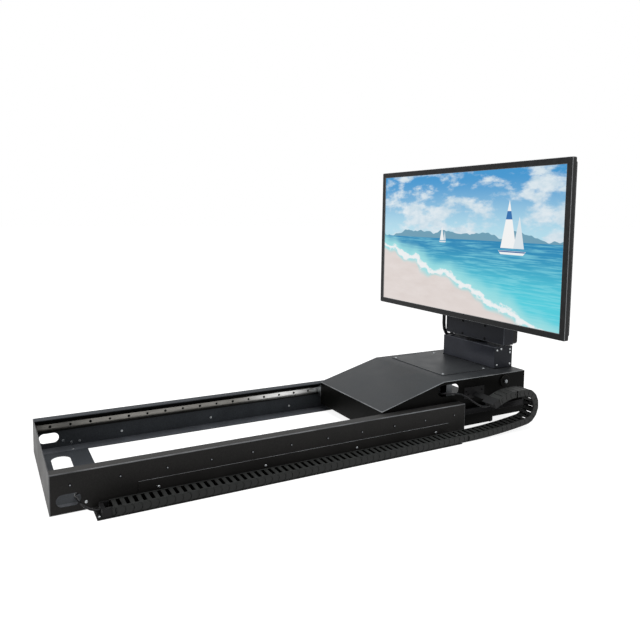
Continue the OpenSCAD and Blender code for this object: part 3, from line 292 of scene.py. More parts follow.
# %% [markdown]
# ## Bare metals
# The rails and screws are zinc plated: a grey metal with faint streaks from rolling. Shafts and gears are
# cut steel, darker and with fine turning lines. Towards the base's open end the rails are painted nearly
# white: a painted reflection. A flat grey could stand for all of them, but it is the streaks and stains that
# make a reflection look like metal.
# The streaks are noise that is drawn out along the rail. All keep the default index of refraction, because
# a metal's colour and roughness already say how it reflects.

# %% Zinc and steel
STAIN_MM = 45  # size of the stains
# The near white of the painted reflection on the rails.
PAINTED_REFLECTION = "#f2f2f0"


def bare_metal(name, colour, dull, shine, streak_mm, stretch, painted_reflection_span=None):
    """Metal with streaks, drawn out by stretch along X. Between two places along X it can be painted nearly
    white, as a painted reflection.
    """
    material, tree, place = blank(name)
    drawn = add(tree, "Mapping", {"Vector": place, "Scale": (1 / stretch, 1, 1)})
    streak = add(tree, "TexNoise", {"Vector": drawn.outputs[0], "Scale": 1000 / streak_mm, "Detail": 3})
    stain = add(tree, "TexNoise", {"Vector": place, "Scale": 1000 / STAIN_MM, "Detail": 5})
    tone = add(tree, "Mix", {0: stain.outputs["Fac"], 6: linear(dull), 7: linear(colour)}, data_type="RGBA")
    if painted_reflection_span:
        along = add(tree, "SeparateXYZ", {0: place})
        painted_highlight = add(tree, "MapRange", {"Value": along.outputs[0], "From Min": painted_reflection_span[0],
                                     "From Max": painted_reflection_span[1]}, interpolation_type="SMOOTHSTEP")
        tone = add(tree, "Mix", {0: painted_highlight.outputs[0], 6: tone.outputs[2], 7: linear(PAINTED_REFLECTION)},
                   data_type="RGBA")
    rough = add(tree, "MapRange", {"Value": streak.outputs["Fac"], **NOISE_SPAN,
                                   "To Min": shine - 0.08, "To Max": shine + 0.1})
    bump = add(tree, "Bump", {"Height": streak.outputs["Fac"], "Strength": 0.15, "Distance": 0.1 * MM})
    shader = add(tree, "BsdfPrincipled", {
        "Base Color": tone.outputs[2], "Roughness": rough.outputs[0], "Normal": bump.outputs[0],
        "Metallic": 1.0})
    add(tree, "OutputMaterial", {"Surface": shader.outputs[0]})
    return material


# Real streaks are some tenths of a millimetre apart. They are drawn 1 to 2 mm apart so that they show.
# The rails are the long bright lines in the black base, whitest towards its open end, where a reflection is
# painted on.
rail_zinc = bare_metal("rolled_zinc_plated_steel", "#8f8d88", "#696763", 0.36, 2.0, 40, (0.0, 0.22))
# Screws are small bright dots, and turned parts are a plain middle grey.
screw_zinc = bare_metal("bright_zinc_plate", "#cccfd1", "#a8acae", 0.36, 1.0, 1)
cut_steel = bare_metal("turned_machine_steel", "#8a8d90", "#6c6f72", 0.33, 1.2, 1)
# Blackened steel shows only where it glints.
black_oxide = bare_metal("black_oxide_steel", "#1c1c1d", "#131314", 0.42, 1.0, 1)
print("metals", [metal.name for metal in (rail_zinc, screw_zinc, cut_steel, black_oxide)])

# %% [markdown]
# ## Plastics
# Moulded plastic copies its mould, which is etched to a fine even grain. ABS on the TV is smoother than the
# glass-filled nylon of the cable chain, whose fibres make it patchy and a shade lighter. PVC on the cables
# is smooth and bends the light into a long soft highlight. One recipe with other numbers does for all of
# them.

# %% Moulded plastics, cable jackets and treads
PATCH_MM = 14  # size of the patches
PATCH_SHARE = 0.08  # how far a patch goes towards the pale colour


def moulded(name, colour, pale_and_highlight, shine, grain_mm, relief_mm):
    """Moulded plastic: etched grain, with pale patches where the filler comes to the surface, and its marked
    edges painted pale as a highlight.
    """
    material, tree, place = blank(name)
    patch = add(tree, "TexNoise", {"Vector": place, "Scale": 1000 / PATCH_MM, "Detail": 4})
    etch = add(tree, "TexVoronoi", {"Vector": place, "Scale": 1000 / grain_mm})
    edge = add(tree, "Attribute", attribute_name="edge")
    faint = add(tree, "Math", {0: patch.outputs["Fac"], 1: PATCH_SHARE}, operation="MULTIPLY")
    # Marked edges are painted pale too: a painted highlight.
    weight = add(tree, "Math", {0: edge.outputs["Fac"], 1: faint.outputs[0]}, operation="MAXIMUM")
    tone = add(tree, "Mix", {0: weight.outputs[0], 6: linear(colour), 7: linear(pale_and_highlight)}, data_type="RGBA")
    rough = add(tree, "MapRange", {"Value": patch.outputs["Fac"], **NOISE_SPAN,
                                   "To Min": shine - 0.05, "To Max": shine + 0.05})
    bump = add(tree, "Bump", {"Height": etch.outputs["Distance"], "Strength": 0.3,
                              "Distance": relief_mm * MM})
    shader = add(tree, "BsdfPrincipled", {
        "Base Color": tone.outputs[2], "Roughness": rough.outputs[0], "Normal": bump.outputs[0],
        "Specular IOR Level": 0.16})
    add(tree, "OutputMaterial", {"Surface": shader.outputs[0]})
    return material


# A real etched grain is about 0.1 mm. It is drawn at 1 to 2.5 mm so that it shows.
# Boxes are a soft black, and the TV is blacker with a bright painted highlight along its rim.
box_abs = moulded("grained_black_abs", "#131314", "#3a3a3b", 0.5, 1.6, 0.1)
tv_abs = moulded("fine_black_abs", "#0a0a0b", "#8a8c8e", 0.36, 1.2, 0.05)
# The chain is the greyest of the plastics, so that its links show.
chain_nylon = moulded("glass_filled_nylon", "#232423", "#7a7c7c", 0.44, 1.8, 0.1)
# Cables have a long highlight, and wheels have hardly any.
cable_pvc = moulded("smooth_pvc_jacket", "#18181a", "#222224", 0.3, 2.5, 0.04)
tread_pu = moulded("polyurethane_tread", "#202022", "#2b2b2d", 0.55, 2.0, 0.1)
print("plastics", [plastic.name for plastic in (box_abs, tv_abs, chain_nylon, cable_pvc, tread_pu)])

# %% [markdown]
# ## Cables
# Three cables show: one from the base's junction box through the wall into the chain, one from the chain's
# upper end into the carriage, and a sleeve from the TV to the head. They could be swept meshes. A curve
# with a round bevel is the simplest form of a cable: its centre line is the cable, and Blender rounds it.
# The points are the CAD model's own, in millimetres, so each cable lies where its solid is.

# %% Cables
CABLES = {  # node: body, diameter, how it lies, points
    "base_cable": ("base", 6, "loose", (
        (-572, -150, 12), (-584, -151, 12), (-596, -158, 14), (-604, -171, 17), (-607, -187, 20),
        (-607, -203, 23), (-607, -219, 28), (-607, -236, 31), (-604, -253, 30), (-597, -267, 26),
        (-584, -277, 20), (-571, -280, 16), (-558, -280, 14.4), (-540, -280, 14.4), (-522, -280, 14.4),
        (-506, -280, 14.4))),
    "carriage_cable": ("carriage", 6, "loose", (
        (788, -280, 125.5), (774, -280, 120.5), (760, -280, 114.4), (744, -280, 106.6), (732, -279, 102),
        (718, -273, 101), (704, -263, 107), (690, -252, 118), (674, -241, 131), (658, -233, 140),
        (640, -225, 143), (622, -215, 143), (608, -201, 141), (598, -184, 136), (588, -169, 125),
        (577, -160, 110), (566, -156, 95), (554, -155, 85), (547, -155, 82), (540, -155, 82))),
    "tv_cable": ("head", 14, "hanging", (
        (885, 166, 425), (892, 166, 425), (905, 166, 419), (915, 166, 406), (921, 166, 386), (923, 166, 360),
        (923, 166, 332), (923, 166, 305), (926, 166, 280), (936, 166, 261), (953, 166, 251), (970, 166, 258),
        (981, 166, 276), (985, 166, 295), (985, 166, 308))),
}


def route_length(points):
    return sum((Vector(b) - Vector(a)).length for a, b in zip(points, points[1:]))


for node, (body, diameter, lay, points) in CABLES.items():
    curve = bpy.data.curves.new(node + "_jacket", "CURVE")
    curve.dimensions = "3D"
    curve.bevel_depth = diameter / 2 * MM
    curve.bevel_resolution = 4
    curve.use_fill_caps = True
    spline = curve.splines.new("POLY")
    spline.points.add(len(points) - 1)
    for target, point in zip(spline.points, points):
        target.co = (*(MM * c for c in point), 1)
    curve.materials.append(cable_pvc)
    cable = in_scene(node + "_jacket", curve)
    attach(cable, body)
    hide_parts(node)
    length = route_length(points) * MM
    print(node, "is", round(length, 3), "m long")

# %% [markdown]
# ## Edges on the CAD pieces
# No real sheet or moulding has a knife edge, and the thin bright line along an edge is what tells the eye
# that a part is solid. The CAD solids have sharp edges. They could be remodelled by hand, but their shapes
# are right, so a copy of each is merged, its flat triangles are joined back to faces, and its sharp edges
# are bevelled. The new narrow faces are marked in an attribute, which the finishes paint lighter: wear,
# and a painted highlight.

# %% Helpers for softened copies
SHARP = math.radians(30)  # edges that turn by more than this get rounded
SAME_PLACE = 1e-6  # points closer than this are one, in metres


def body_of(node):
    return frame["nodes"][node]["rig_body"]


def merged(node):
    """A bmesh of a CAD node with its loose triangles joined."""
    bm = bmesh.new()
    bm.from_mesh(frame["nodes"][node].data)
    bmesh.ops.remove_doubles(bm, verts=bm.verts, dist=SAME_PLACE)
    return bm


def piece(name, bm, materials, body, slot, *nodes):
    """Turns a bmesh into a piece that rides on a body, and stands for the CAD nodes named."""
    mesh = mesh_from(name, bm)
    for material in materials:
        mesh.materials.append(material)
    obj = in_scene(name, mesh)
    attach(obj, body)
    if nodes:
        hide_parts(*nodes)
    return obj


def round_edges(bm, edges, width_mm, segments, wear_and_highlight):
    """Bevels edges and marks how much lighter the new faces are painted, for wear and a painted highlight.
    """
    layer = bm.faces.layers.float.get("edge") or bm.faces.layers.float.new("edge")
    made = bmesh.ops.bevel(bm, geom=edges, offset=width_mm * MM, offset_type="OFFSET", affect="EDGES",
                           segments=segments, profile=0.5, material=-1, clamp_overlap=True)
    for face in made["faces"]:
        face[layer] = wear_and_highlight
    for face in bm.faces:
        face.smooth = True


def sharp_edges(bm):
    return [e for e in bm.edges if len(e.link_faces) == 2 and e.calc_face_angle() > SHARP]


print("edges that turn by more than", round(math.degrees(SHARP)), "degrees get rounded")

# %% [markdown]
# ## Bent edges, and edges painted lighter
# Sheet steel has two kinds of edge: where it is bent it is round by about its own thickness, and where it
# is cut it is nearly sharp. The bent edges could be picked one by one. They lie on the outside of a piece,
# so its box finds them. Each edge is painted lighter, for wear and as a painted highlight. Edges that are
# handled or scraped lose more of their coat and get a brighter painted highlight, and that is one number
# each.

# %% Bends, wear and painted highlights
ON_SIDE = 0.1  # a point this close to a side of the box lies on it, in millimetres
RAMP_FOOT_Z, CREASE_X = 112, 608  # the cover's ramp starts at this height and meets the deck at this X


def corners(node):
    """The lowest and the highest corner of a CAD node, in millimetres."""
    return [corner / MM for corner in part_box(node)]


def at(value, *sides):
    return any(abs(value - side) < ON_SIDE for side in sides)


def channel_bend(p, low, high):
    """The two edges where a channel's flanges meet its wall."""
    return at(p.y, max(low.y, high.y, key=abs)) and at(p.z, low.z, high.z)


def cover_bend(p, low, high):
    """The upper side edges of the ramp cover, along its ramp and its deck."""
    slope = (high.z - RAMP_FOOT_Z) / (CREASE_X - low.x)
    top = min(high.z, RAMP_FOOT_Z + slope * (p.x - low.x))
    return at(p.y, low.y, high.y) and p.z > top - 3 * ON_SIDE


def column_bend(p, low, high):
    """The column's upper long edges. Its lower ones stand close over the deck and stay sharp."""
    return at(p.x, low.x, high.x) and at(p.z, high.z)


def head_bend(p, low, high):
    """The edges round the front of the head."""
    return at(p.x, low.x) and (at(p.z, low.z, high.z) or at(p.y, low.y, high.y))


BENDS = {  # node: radius in millimetres, and a test for both ends of an edge
    "side_channel_near": (3.5, channel_bend), "side_channel_far": (3.5, channel_bend),
    "ramp_cover": (1.7, cover_bend), "head_housing": (2.5, head_bend),
    "column_housing": (2.5, column_bend), "column_end_covers": (2.5, column_bend),
}
# How much lighter bent and cut edges are painted, for wear and a painted highlight.
BEND_WEAR_AND_HIGHLIGHT, CUT_WEAR_AND_HIGHLIGHT = 0.5, 0.4
EDGE_WEAR_AND_HIGHLIGHT = {  # cut edges that are painted lighter: more wear and a brighter painted highlight
    "ramp_cover": 1.0, "service_cover": 0.8, "chain_tray": 0.7, "tv_bezel": 1.0, "head_housing": 0.7,
    "column_housing": 0.7, "rail_near": 1.0, "rail_far": 1.0,
}
TRAY_RIM_Z = 47.5
OPENING_X, OPENING_Y = 900, 143.5  # the deck's opening starts at this X and reaches this far from the middle
FACE_WEAR_AND_HIGHLIGHT = {  # node: a test for the middle of a face, and how much lighter it is painted for wear and highlight
    "chain_tray": (lambda p: p.z > TRAY_RIM_Z, 1.0),  # the tray's upper edge gets a bright painted highlight
    "ramp_cover": (lambda p: p.x > OPENING_X and abs(p.y) < OPENING_Y, 0.0),  # this rim is not painted lighter
}
print("bent pieces", list(BENDS))

# %% [markdown]
# ## The softened pieces
# Most of the lift is sheet, castings and mouldings whose solids only need their edges and a finish. Each
# could be a cell of its own, but they are all made the same way. So one table gives each piece its finish
# and the width of its edges, and one function makes them. A weighted normal keeps the large faces flat
# beside their round edges.

# %% Softened copies
FLAT = math.radians(0.5)  # triangles that turn by less than this are one face


def softened(node, material, slot, width_mm):
    """A copy of a CAD node with its bent and its cut edges rounded, in that node's place."""
    bm = merged(node)
    bmesh.ops.dissolve_limit(bm, angle_limit=FLAT, verts=bm.verts, edges=bm.edges)
    if node in BENDS:
        radius, bent = BENDS[node]
        box = corners(node)
        edges = [e for e in sharp_edges(bm) if all(bent(v.co / MM, *box) for v in e.verts)]
        round_edges(bm, edges, radius, segments=3, wear_and_highlight=BEND_WEAR_AND_HIGHLIGHT)
    round_edges(bm, sharp_edges(bm), width_mm, segments=2, wear_and_highlight=EDGE_WEAR_AND_HIGHLIGHT.get(node, CUT_WEAR_AND_HIGHLIGHT))
    if node in FACE_WEAR_AND_HIGHLIGHT:
        test, wear_and_highlight = FACE_WEAR_AND_HIGHLIGHT[node]
        layer = bm.faces.layers.float["edge"]
        for face in bm.faces:
            if test(face.calc_center_median() / MM):
                face[layer] = wear_and_highlight
    obj = piece(node + "_finished", bm, [material], body_of(node), slot, node)
    even = obj.modifiers.new("even_shading", "WEIGHTED_NORMAL")
    even.keep_sharp = True
    return obj


SOFT = {  # finish, slot: nodes and the width of their cut edges in millimetres
    (base_coat, "base_black"): {"side_channel_near": 0.9, "end_plate": 0.8, "chain_tray": 0.9},
    (painted_floor_light_coat, "base_black"): {"side_channel_far": 0.9, "floor_plate": 0.6},
    (black_coat_and_painted_shade, "base_black"): {"carriage_side_near": 0.6, "carriage_side_far": 0.6, "pivot_discs": 1.2,
                                 "roller_forks": 0.5, "front_panel": 0.6},
    (carriage_coat, "carriage_grey"): {"ramp_cover": 0.5, "service_cover": 0.9, "floor_pan": 0.6},
    (slate_coat_painted_lighter, "column_slate"): {"column_housing": 0.3},
    (column_coat, "column_slate"): {"column_end_covers": 0.3, "head_housing": 0.5, "flip_arms": 0.8,
                                    "mast": 1.2, "tv_plate": 1.0, "tv_arms": 0.7},
    (rail_zinc, "zinc"): {"rail_near": 0.5, "rail_far": 0.5},
    (black_oxide, "steel"): {"runner_near": 0.6, "runner_far": 0.6, "swivel_bush": 0.6,
                             "swivel_spindle": 0.6},
    (cut_steel, "steel"): {"traverse_motor": 1.5, "flip_motor": 1.5, "swivel_motor": 1.5,
                           "pivot_bushes": 0.5, "pivot_shaft": 0.5},
    (box_abs, "black_plastic"): {"chain_anchor": 0.6, "chain_bracket": 0.5, "junction_box": 2.0,
                                 "control_box": 2.5, "head_rear_cover": 1.2},
    (tv_abs, "tv_black"): {"tv_bezel": 1.3, "tv_rear_shell": 1.2, "tv_rear_box": 1.2},
}
for (material, slot), widths in SOFT.items():
    for node, width in widths.items():
        made = softened(node, material, slot, width)
        print(made.name, len(made.data.polygons), "faces")

# %% [markdown]
# ## Painted shade, dust and sheen inside the base
# Dust settles on what faces up, so the foot flanges are paler than the walls, and a painted sheen makes them
# paler still. Beside the rails little light falls. One finish for the whole channel would hide both, and
# these bands are what makes a rail stand out from its wall. So the wall is cut along a line just under the
# rail, and
# the part above it gets a deeper black: painted shade. The rail's lower flange gets the same painted shade.
# The runners' bare tabs, which are screwed to the carriage, get their second finish in the same way.

# %% Shade, dust and bare tabs
RAIL_SHADE = 6  # how far the painted shade reaches below the rail, in millimetres
PAINTED_SHADE_FLANGE = 3  # height of the rail's lower flange that gets the painted shade, in millimetres
WALL_IN_Y = 225  # the flanges' cut edges lie nearer the middle than this, the walls further out
TAB_END_X = 356.2  # the runners' tabs end here, in millimetres
NORMAL_SHARE = 0.9  # share of a face's normal that looks the right way
for side, inwards in (("near", 1), ("far", -1)):
    channel = bpy.data.objects[f"side_channel_{side}_finished"].data
    rail_low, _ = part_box(f"rail_{side}")
    shade_z = rail_low.z - RAIL_SHADE * MM
    bm = bmesh.new()
    bm.from_mesh(channel)
    bmesh.ops.bisect_plane(bm, geom=bm.verts[:] + bm.edges[:] + bm.faces[:], plane_co=(0, 0, shade_z),
                           plane_no=(0, 0, 1))
    # Inner wall faces above the cut get painted shade, and upward faces below it get dust and a painted
    # sheen.
    for face in bm.faces:
        middle = face.calc_center_median()
        if face.normal.y * inwards > NORMAL_SHARE and middle.z > shade_z and abs(middle.y) > WALL_IN_Y * MM:
            face.material_index = 1
        elif face.normal.z > NORMAL_SHARE and middle.z < shade_z:
            face.material_index = 2
    bm.to_mesh(channel)
    bm.free()
    for material in (black_coat_and_painted_shade, dust_and_painted_sheen):
        channel.materials.append(material)
    # The rail's lower flange gets the painted shade too.
    rail = bpy.data.objects[f"rail_{side}_finished"].data
    rail.materials.append(black_coat_and_painted_shade)
    for face in rail.polygons:
        face.material_index = 1 if face.center.z < rail_low.z + PAINTED_SHADE_FLANGE * MM else 0
    runner = bpy.data.objects[f"runner_{side}_finished"].data
    runner.materials.append(cut_steel)
    for face in runner.polygons:
        face.material_index = 1 if face.center.x < TAB_END_X * MM else 0
    print(side, "wall is shaded from", round(shade_z / MM, 1), "mm up")

# %% [markdown]
# ## A lip round the column's foot
# The column stands in an opening of the deck, with a gap round it so that it can fold. A soft black lip on
# its foot closes that gap. A strip could be swept round the foot; three thin blocks with rounded edges do
# the same.

# %% Lip
LIP = {"front": ((901.1, -142.2), (902.6, 142.2)), "near": ((901.1, -142.2), (990.0, -138.9)),
       "far": ((901.1, 138.9), (990.0, 142.2))}  # lowest and highest X and Y in millimetres
LIP_Z, LIP_EDGE = (180.6, 182.9), 0.2


def block(bm, low, high):
    """Adds a box between two corners, and gives its edges."""
    verts = bmesh.ops.create_cube(bm, size=1)["verts"]
    bmesh.ops.scale(bm, verts=verts, vec=[b - a for a, b in zip(low, high)])
    bmesh.ops.translate(bm, verts=verts, vec=[(a + b) / 2 for a, b in zip(low, high)])
    return list({e for v in verts for e in v.link_edges})


lip_bm = bmesh.new()
for low, high in LIP.values():
    block(lip_bm, (*low, LIP_Z[0]), (*high, LIP_Z[1]))
lip_bm.transform(Matrix.Scale(MM, 4))
round_edges(lip_bm, lip_bm.edges[:], LIP_EDGE, segments=1, wear_and_highlight=0.0)
lip = piece("column_foot_lip", lip_bm, [black_coat_and_painted_shade], "column", "black_plastic")
print(lip.name, len(lip.data.polygons), "faces")

# %% [markdown]
# ## Cable chain
# The chain is a row of nylon links. A link has two side plates and two crossbars. On a real chain each
# plate ends in a round eye that laps over the next link and turns about a pin, so the joints look like a
# row of arcs. Boxes would miss those arcs. Here half a circle is spun from one point, drawn along the chain
# by one pitch, which gives the plate with its round end and its hollow end, and pulled to its thickness.
# The bars on the outside of the bend are wide lids that close the chain, and those on the inside are
# narrow, because there the links crowd together.

# %% Plates and bars of a link
PITCH = 21.4
LINK_H = 24.0
EYE_R, EYE_STEPS = 11.6, 8
EYE_GAP = 1.7  # between a round end and the hollow end that it turns in
PLATE_T = 2.4
PLAY = 0.1  # between two plates that lap
BAR_L, BAR_T, BAR_EDGE, BAR_INSET = 11.4, 2.6, 0.7, 0.6
LID_L = 20.0
CHAIN_Y0, CHAIN_Y1 = (corner.y for corner in corners("chain_lower_run"))


def only(found, kind):
    """The parts of one kind among those that an operator gives back."""
    return [part for part in found if isinstance(part, kind)]


def eye_plate(bm, y, direction):
    """A side plate between two pins. direction 1 has its round end towards +X, -1 towards -X."""
    pin = Vector((direction * PITCH / 2, y, 0))
    start = bm.verts.new(pin + Vector((0, 0, -EYE_R)))
    before = set(bm.edges)
    bmesh.ops.spin(bm, geom=[start], cent=pin, axis=(0, -direction, 0), angle=math.pi, steps=EYE_STEPS)
    arc = [e for e in bm.edges if e not in before]
    drawn = bmesh.ops.extrude_edge_only(bm, edges=arc)["geom"]
    along = (-direction * (PITCH - EYE_GAP), 0, 0)
    bmesh.ops.translate(bm, verts=only(drawn, bmesh.types.BMVert), vec=along)
    thick = bmesh.ops.extrude_face_region(bm, geom=only(drawn, bmesh.types.BMFace))["geom"]
    bmesh.ops.translate(bm, verts=only(thick, bmesh.types.BMVert), vec=(0, PLATE_T, 0))


def crossbar(bm, z, length):
    """A bar between the two side plates, rounded along its edges."""
    edges = block(bm, (-length / 2, CHAIN_Y0 + 2 * PLATE_T, z - BAR_T / 2),
                  (length / 2, CHAIN_Y1 - 2 * PLATE_T, z + BAR_T / 2))
    bmesh.ops.bevel(bm, geom=edges, offset=BAR_EDGE, affect="EDGES", segments=1, profile=0.5, material=-1)


link_bm = bmesh.new()
for y, inwards in ((CHAIN_Y0, 1), (CHAIN_Y1 - PLATE_T, -1)):
    eye_plate(link_bm, y, 1)
    eye_plate(link_bm, y + inwards * (PLATE_T + PLAY), -1)
for side, length in ((-1, LID_L), (1, BAR_L)):
    crossbar(link_bm, side * (LINK_H / 2 - BAR_T / 2 - BAR_INSET), length)
bmesh.ops.recalc_face_normals(link_bm, faces=link_bm.faces)
print("a link has", len(link_bm.faces), "faces")

# %% [markdown]
# ## Whole links and end links
# Inside, a chain lies in the shade of its cables, so the faces that look inwards get a second finish, a
# deeper black that is painted shade. Where two stretches of chain part, a whole link's eye would reach into
# the other stretch.
# Such an eye could be left out. Cutting it square at its pin keeps the chain closed while it is at rest.

# %% Whole links and end links
END_GAP = 1.6  # between two links that are cut square
LID_TOP_Z = -6  # the lid's inner side is below this height
INWARD_SHARE = 0.7  # share of a face's normal that looks into the link


def shade_inside(bm):
    """Gives the faces that look into the link the second finish, a painted shade."""
    middle = (CHAIN_Y0 + CHAIN_Y1) / 2
    for face in bm.faces:
        place = face.calc_center_median()
        aside = place.y - middle
        on_lid = place.z < LID_TOP_Z and face.normal.z > INWARD_SHARE
        on_plate = face.normal.y * aside < -INWARD_SHARE * abs(aside)
        if on_lid or on_plate:
            face.material_index = 1


def cut_square(bm, end):
    """Cuts a link's eyes off at its pin: end 1 ahead of the link, -1 behind it."""
    geom = bm.verts[:] + bm.edges[:] + bm.faces[:]
    cut = bmesh.ops.bisect_plane(bm, geom=geom, plane_co=(end * (PITCH - END_GAP) / 2 * MM, 0, 0),
                                 plane_no=(end, 0, 0), clear_outer=True)["geom_cut"]
    bmesh.ops.holes_fill(bm, edges=only(cut, bmesh.types.BMEdge), sides=0)


shade_inside(link_bm)
link_bm.transform(Matrix.Scale(MM, 4))
LINKS = {}  # the end that is cut square, or 0: the link's mesh
for end in (0, -1, 1):
    bm = link_bm.copy()
    if end:
        cut_square(bm, end)
    LINKS[end] = mesh_from("chain_link", bm)
link_bm.free()
print("links", {end: len(mesh.polygons) for end, mesh in LINKS.items()}, "faces")

# %% [markdown]
# ## The chain's path
# The lower links lie on the tray. Then the chain rises gently, turns back over itself and bends down to the
# carriage. Each stretch is an arc, so a link's place and heading follow from how far along the chain it
# sits. Links could be set along a curve by a modifier, but each stretch rides on its own body, because they
# move at different speeds. So each link is placed by its own two numbers.

# %% Rows of links
LOOP_X0, CHAIN_Z = 620.0, 14.4
RISE_R, RISE_L, LOOP_R, END_R = 2100.0, 275.0, 52.0, 190.0
FIXED_LINKS, PASSING_LINKS, LOOP_LINKS, UPPER_LINKS = 31, 23, 22, 4
LOOP_L = LOOP_LINKS * PITCH


def arc_at(start, radius, along):
    """Where the path is, and where it heads, after a distance along an arc."""
    x, z, heading = start
    turned = heading + along / radius
    return (x + radius * (math.sin(turned) - math.sin(heading)),
            z - radius * (math.cos(turned) - math.cos(heading)), turned)


rise_start = (LOOP_X0, CHAIN_Z, 0.0)
turn_start = arc_at(rise_start, RISE_R, RISE_L)
turn_l = (math.pi - turn_start[2]) * LOOP_R
turn_end = arc_at(turn_start, LOOP_R, turn_l)
loop_end = (turn_end[0] - (LOOP_L - RISE_L - turn_l), turn_end[1], math.pi)


def loop_path(along):
    """Where the path is, and where it heads, after a distance from the start of the rise."""
    if along < RISE_L:
        return arc_at(rise_start, RISE_R, along)
    if along < RISE_L + turn_l:
        return arc_at(turn_start, LOOP_R, along - RISE_L)
    if along < LOOP_L:
        return (turn_end[0] - (along - RISE_L - turn_l), turn_end[1], math.pi)
    return arc_at(loop_end, END_R, along - LOOP_L)


def stamp(bm, template, matrix, finish=None):
    """Adds a placed copy of a template mesh to a bmesh, in its own finishes or in one of the piece's."""
    copy = template.copy()
    copy.transform(matrix)
    if finish is not None:
        copy.polygons.foreach_set("material_index", [finish] * len(copy.polygons))
    bm.from_mesh(copy)
    bpy.data.meshes.remove(copy)


def chain_row(node, places, last_end=1):
    """One body's stretch of chain. Its first link is cut square, and its last one unless last_end is 0."""
    bm = bmesh.new()
    ends = [-1] + [0] * (len(places) - 2) + [last_end]
    for end, (x, z, heading) in zip(ends, places):
        place = Matrix.Translation((x * MM, 0, z * MM)) @ Matrix.Rotation(-heading, 4, "Y")
        stamp(bm, LINKS[end], place)
    row = piece(node + "_links", bm, [chain_nylon, black_coat_and_painted_shade], body_of(node), "chain_grey", node)
    print(row.name, len(places), "links")


fixed_x0 = LOOP_X0 - (PASSING_LINKS + FIXED_LINKS) * PITCH
flat = [(fixed_x0 + (i + 0.5) * PITCH, CHAIN_Z, 0.0) for i in range(FIXED_LINKS + PASSING_LINKS)]
chain_row("chain_lower_run", flat[:FIXED_LINKS], last_end=0)
chain_row("chain_passing_run", flat[FIXED_LINKS:])
chain_row("chain_loop", [loop_path((i + 0.5) * PITCH) for i in range(LOOP_LINKS)])
chain_row("chain_upper_run", [loop_path(LOOP_L + (i + 0.5) * PITCH) for i in range(UPPER_LINKS)])

# %% [markdown]
# ## Screws, rivets and bolts
# The CAD solids mark where each fastener sits. Their heads are plain discs. A real pan head is domed with a
# cross recess, a rivet is a low dome, and the pivot bolts are hexagons. Boolean cuts could make a recess. A
# circle that is drawn up ring by ring gives cleaner faces, so each head is modelled once like that, at unit
# size.

# %% Fastener heads
HEAD_SIDES = 20


def draw_up(bm, ring, rise, scale):
    """Extrudes a ring of edges upwards, scales the new ring and gives it back."""
    out = bmesh.ops.extrude_edge_only(bm, edges=ring)["geom"]
    verts = only(out, bmesh.types.BMVert)
    bmesh.ops.translate(bm, verts=verts, vec=(0, 0, rise))
    bmesh.ops.scale(bm, verts=verts, vec=(scale, scale, 1))
    return [e for e in only(out, bmesh.types.BMEdge) if all(v in verts for v in e.verts)]


def domed(steps):
    """A disc of radius 1 that is drawn up in steps of rise and scale, and its open upper ring."""
    bm = bmesh.new()
    bmesh.ops.create_circle(bm, cap_ends=True, segments=HEAD_SIDES, radius=1)
    ring = bm.edges[:]
    for rise, scale in steps:
        ring = draw_up(bm, ring, rise, scale)
    return bm, ring


def template(name, bm):
    bmesh.ops.recalc_face_normals(bm, faces=bm.faces)
    return mesh_from(name, bm)


def pan_head():
    """Domed head with a cross recess, of radius 1 and height 1."""
    bm, ring = domed(((0.45, 1.0), (0.3, 0.9), (0.2, 0.72)))
    arm, half = 0.46, 0.12
    outline = [(arm, -half), (arm, half), (half, half), (half, arm), (-half, arm), (-half, half),
               (-arm, half), (-arm, -half), (-half, -half), (-half, -arm), (half, -arm), (half, -half)]
    cross = [bm.verts.new((x, y, 1.0)) for x, y in outline]
    rim = [bm.edges.new((a, b)) for a, b in zip(cross, cross[1:] + cross[:1])]
    bmesh.ops.bridge_loops(bm, edges=ring + rim)
    bmesh.ops.contextual_create(bm, geom=draw_up(bm, rim, -0.6, 0.75))
    return template("pan_head", bm)


def rivet_dome():
    """Low round dome of radius 1 and height 1, with the end of its pulled pin in the second finish."""
    bm, ring = domed(((0.35, 0.97), (0.35, 0.8), (0.2, 0.6), (0.1, 0.9)))
    for face in bmesh.ops.contextual_create(bm, geom=ring)["faces"]:
        face.material_index = 1
    return template("rivet_dome", bm)


def hexagon():
    """Hexagon of radius 1 and height 1, with its upper corners turned off."""
    bm = bmesh.new()
    bmesh.ops.create_cone(bm, cap_ends=True, segments=6, radius1=1, radius2=1, depth=1)
    bmesh.ops.translate(bm, verts=bm.verts, vec=(0, 0, 0.5))
    top = [e for e in bm.edges if all(v.co.z > 0.9 for v in e.verts)]
    bmesh.ops.bevel(bm, geom=top, offset=0.14, affect="EDGES", segments=2, profile=0.5, material=-1)
    return template("hexagon", bm)


PAN, DOME, HEX = pan_head(), rivet_dome(), hexagon()
print("heads", [(m.name, len(m.polygons)) for m in (PAN, DOME, HEX)])

# %% [markdown]
# ## Where the fasteners are
# Each fastener node of the CAD model is a group of separate solids. Their places could be typed again. It
# is safer to read them: points that are joined by edges are one solid, and its box says where the fastener
# is, how long and how wide it is, and which way it lies.

# %% Boxes of solids, heads and shanks
UP = Vector((0, 0, 1))
SHANK_SIDES = 12


def solid_boxes(node):
    """The lowest and highest corner of each separate solid in a CAD node."""
    bm = merged(node)
    boxes, seen = [], set()
    for first in bm.verts:
        if first in seen:
            continue
        seen.add(first)
        reach, group = [first], []
        while reach:
            vert = reach.pop()
            group.append(vert.co.copy())
            for edge in vert.link_edges:
                other = edge.other_vert(vert)
                if other not in seen:
                    seen.add(other)
                    reach.append(other)
        boxes.append([Vector(pick(c[i] for c in group) for i in range(3)) for pick in (min, max)])
    bm.free()
    return boxes


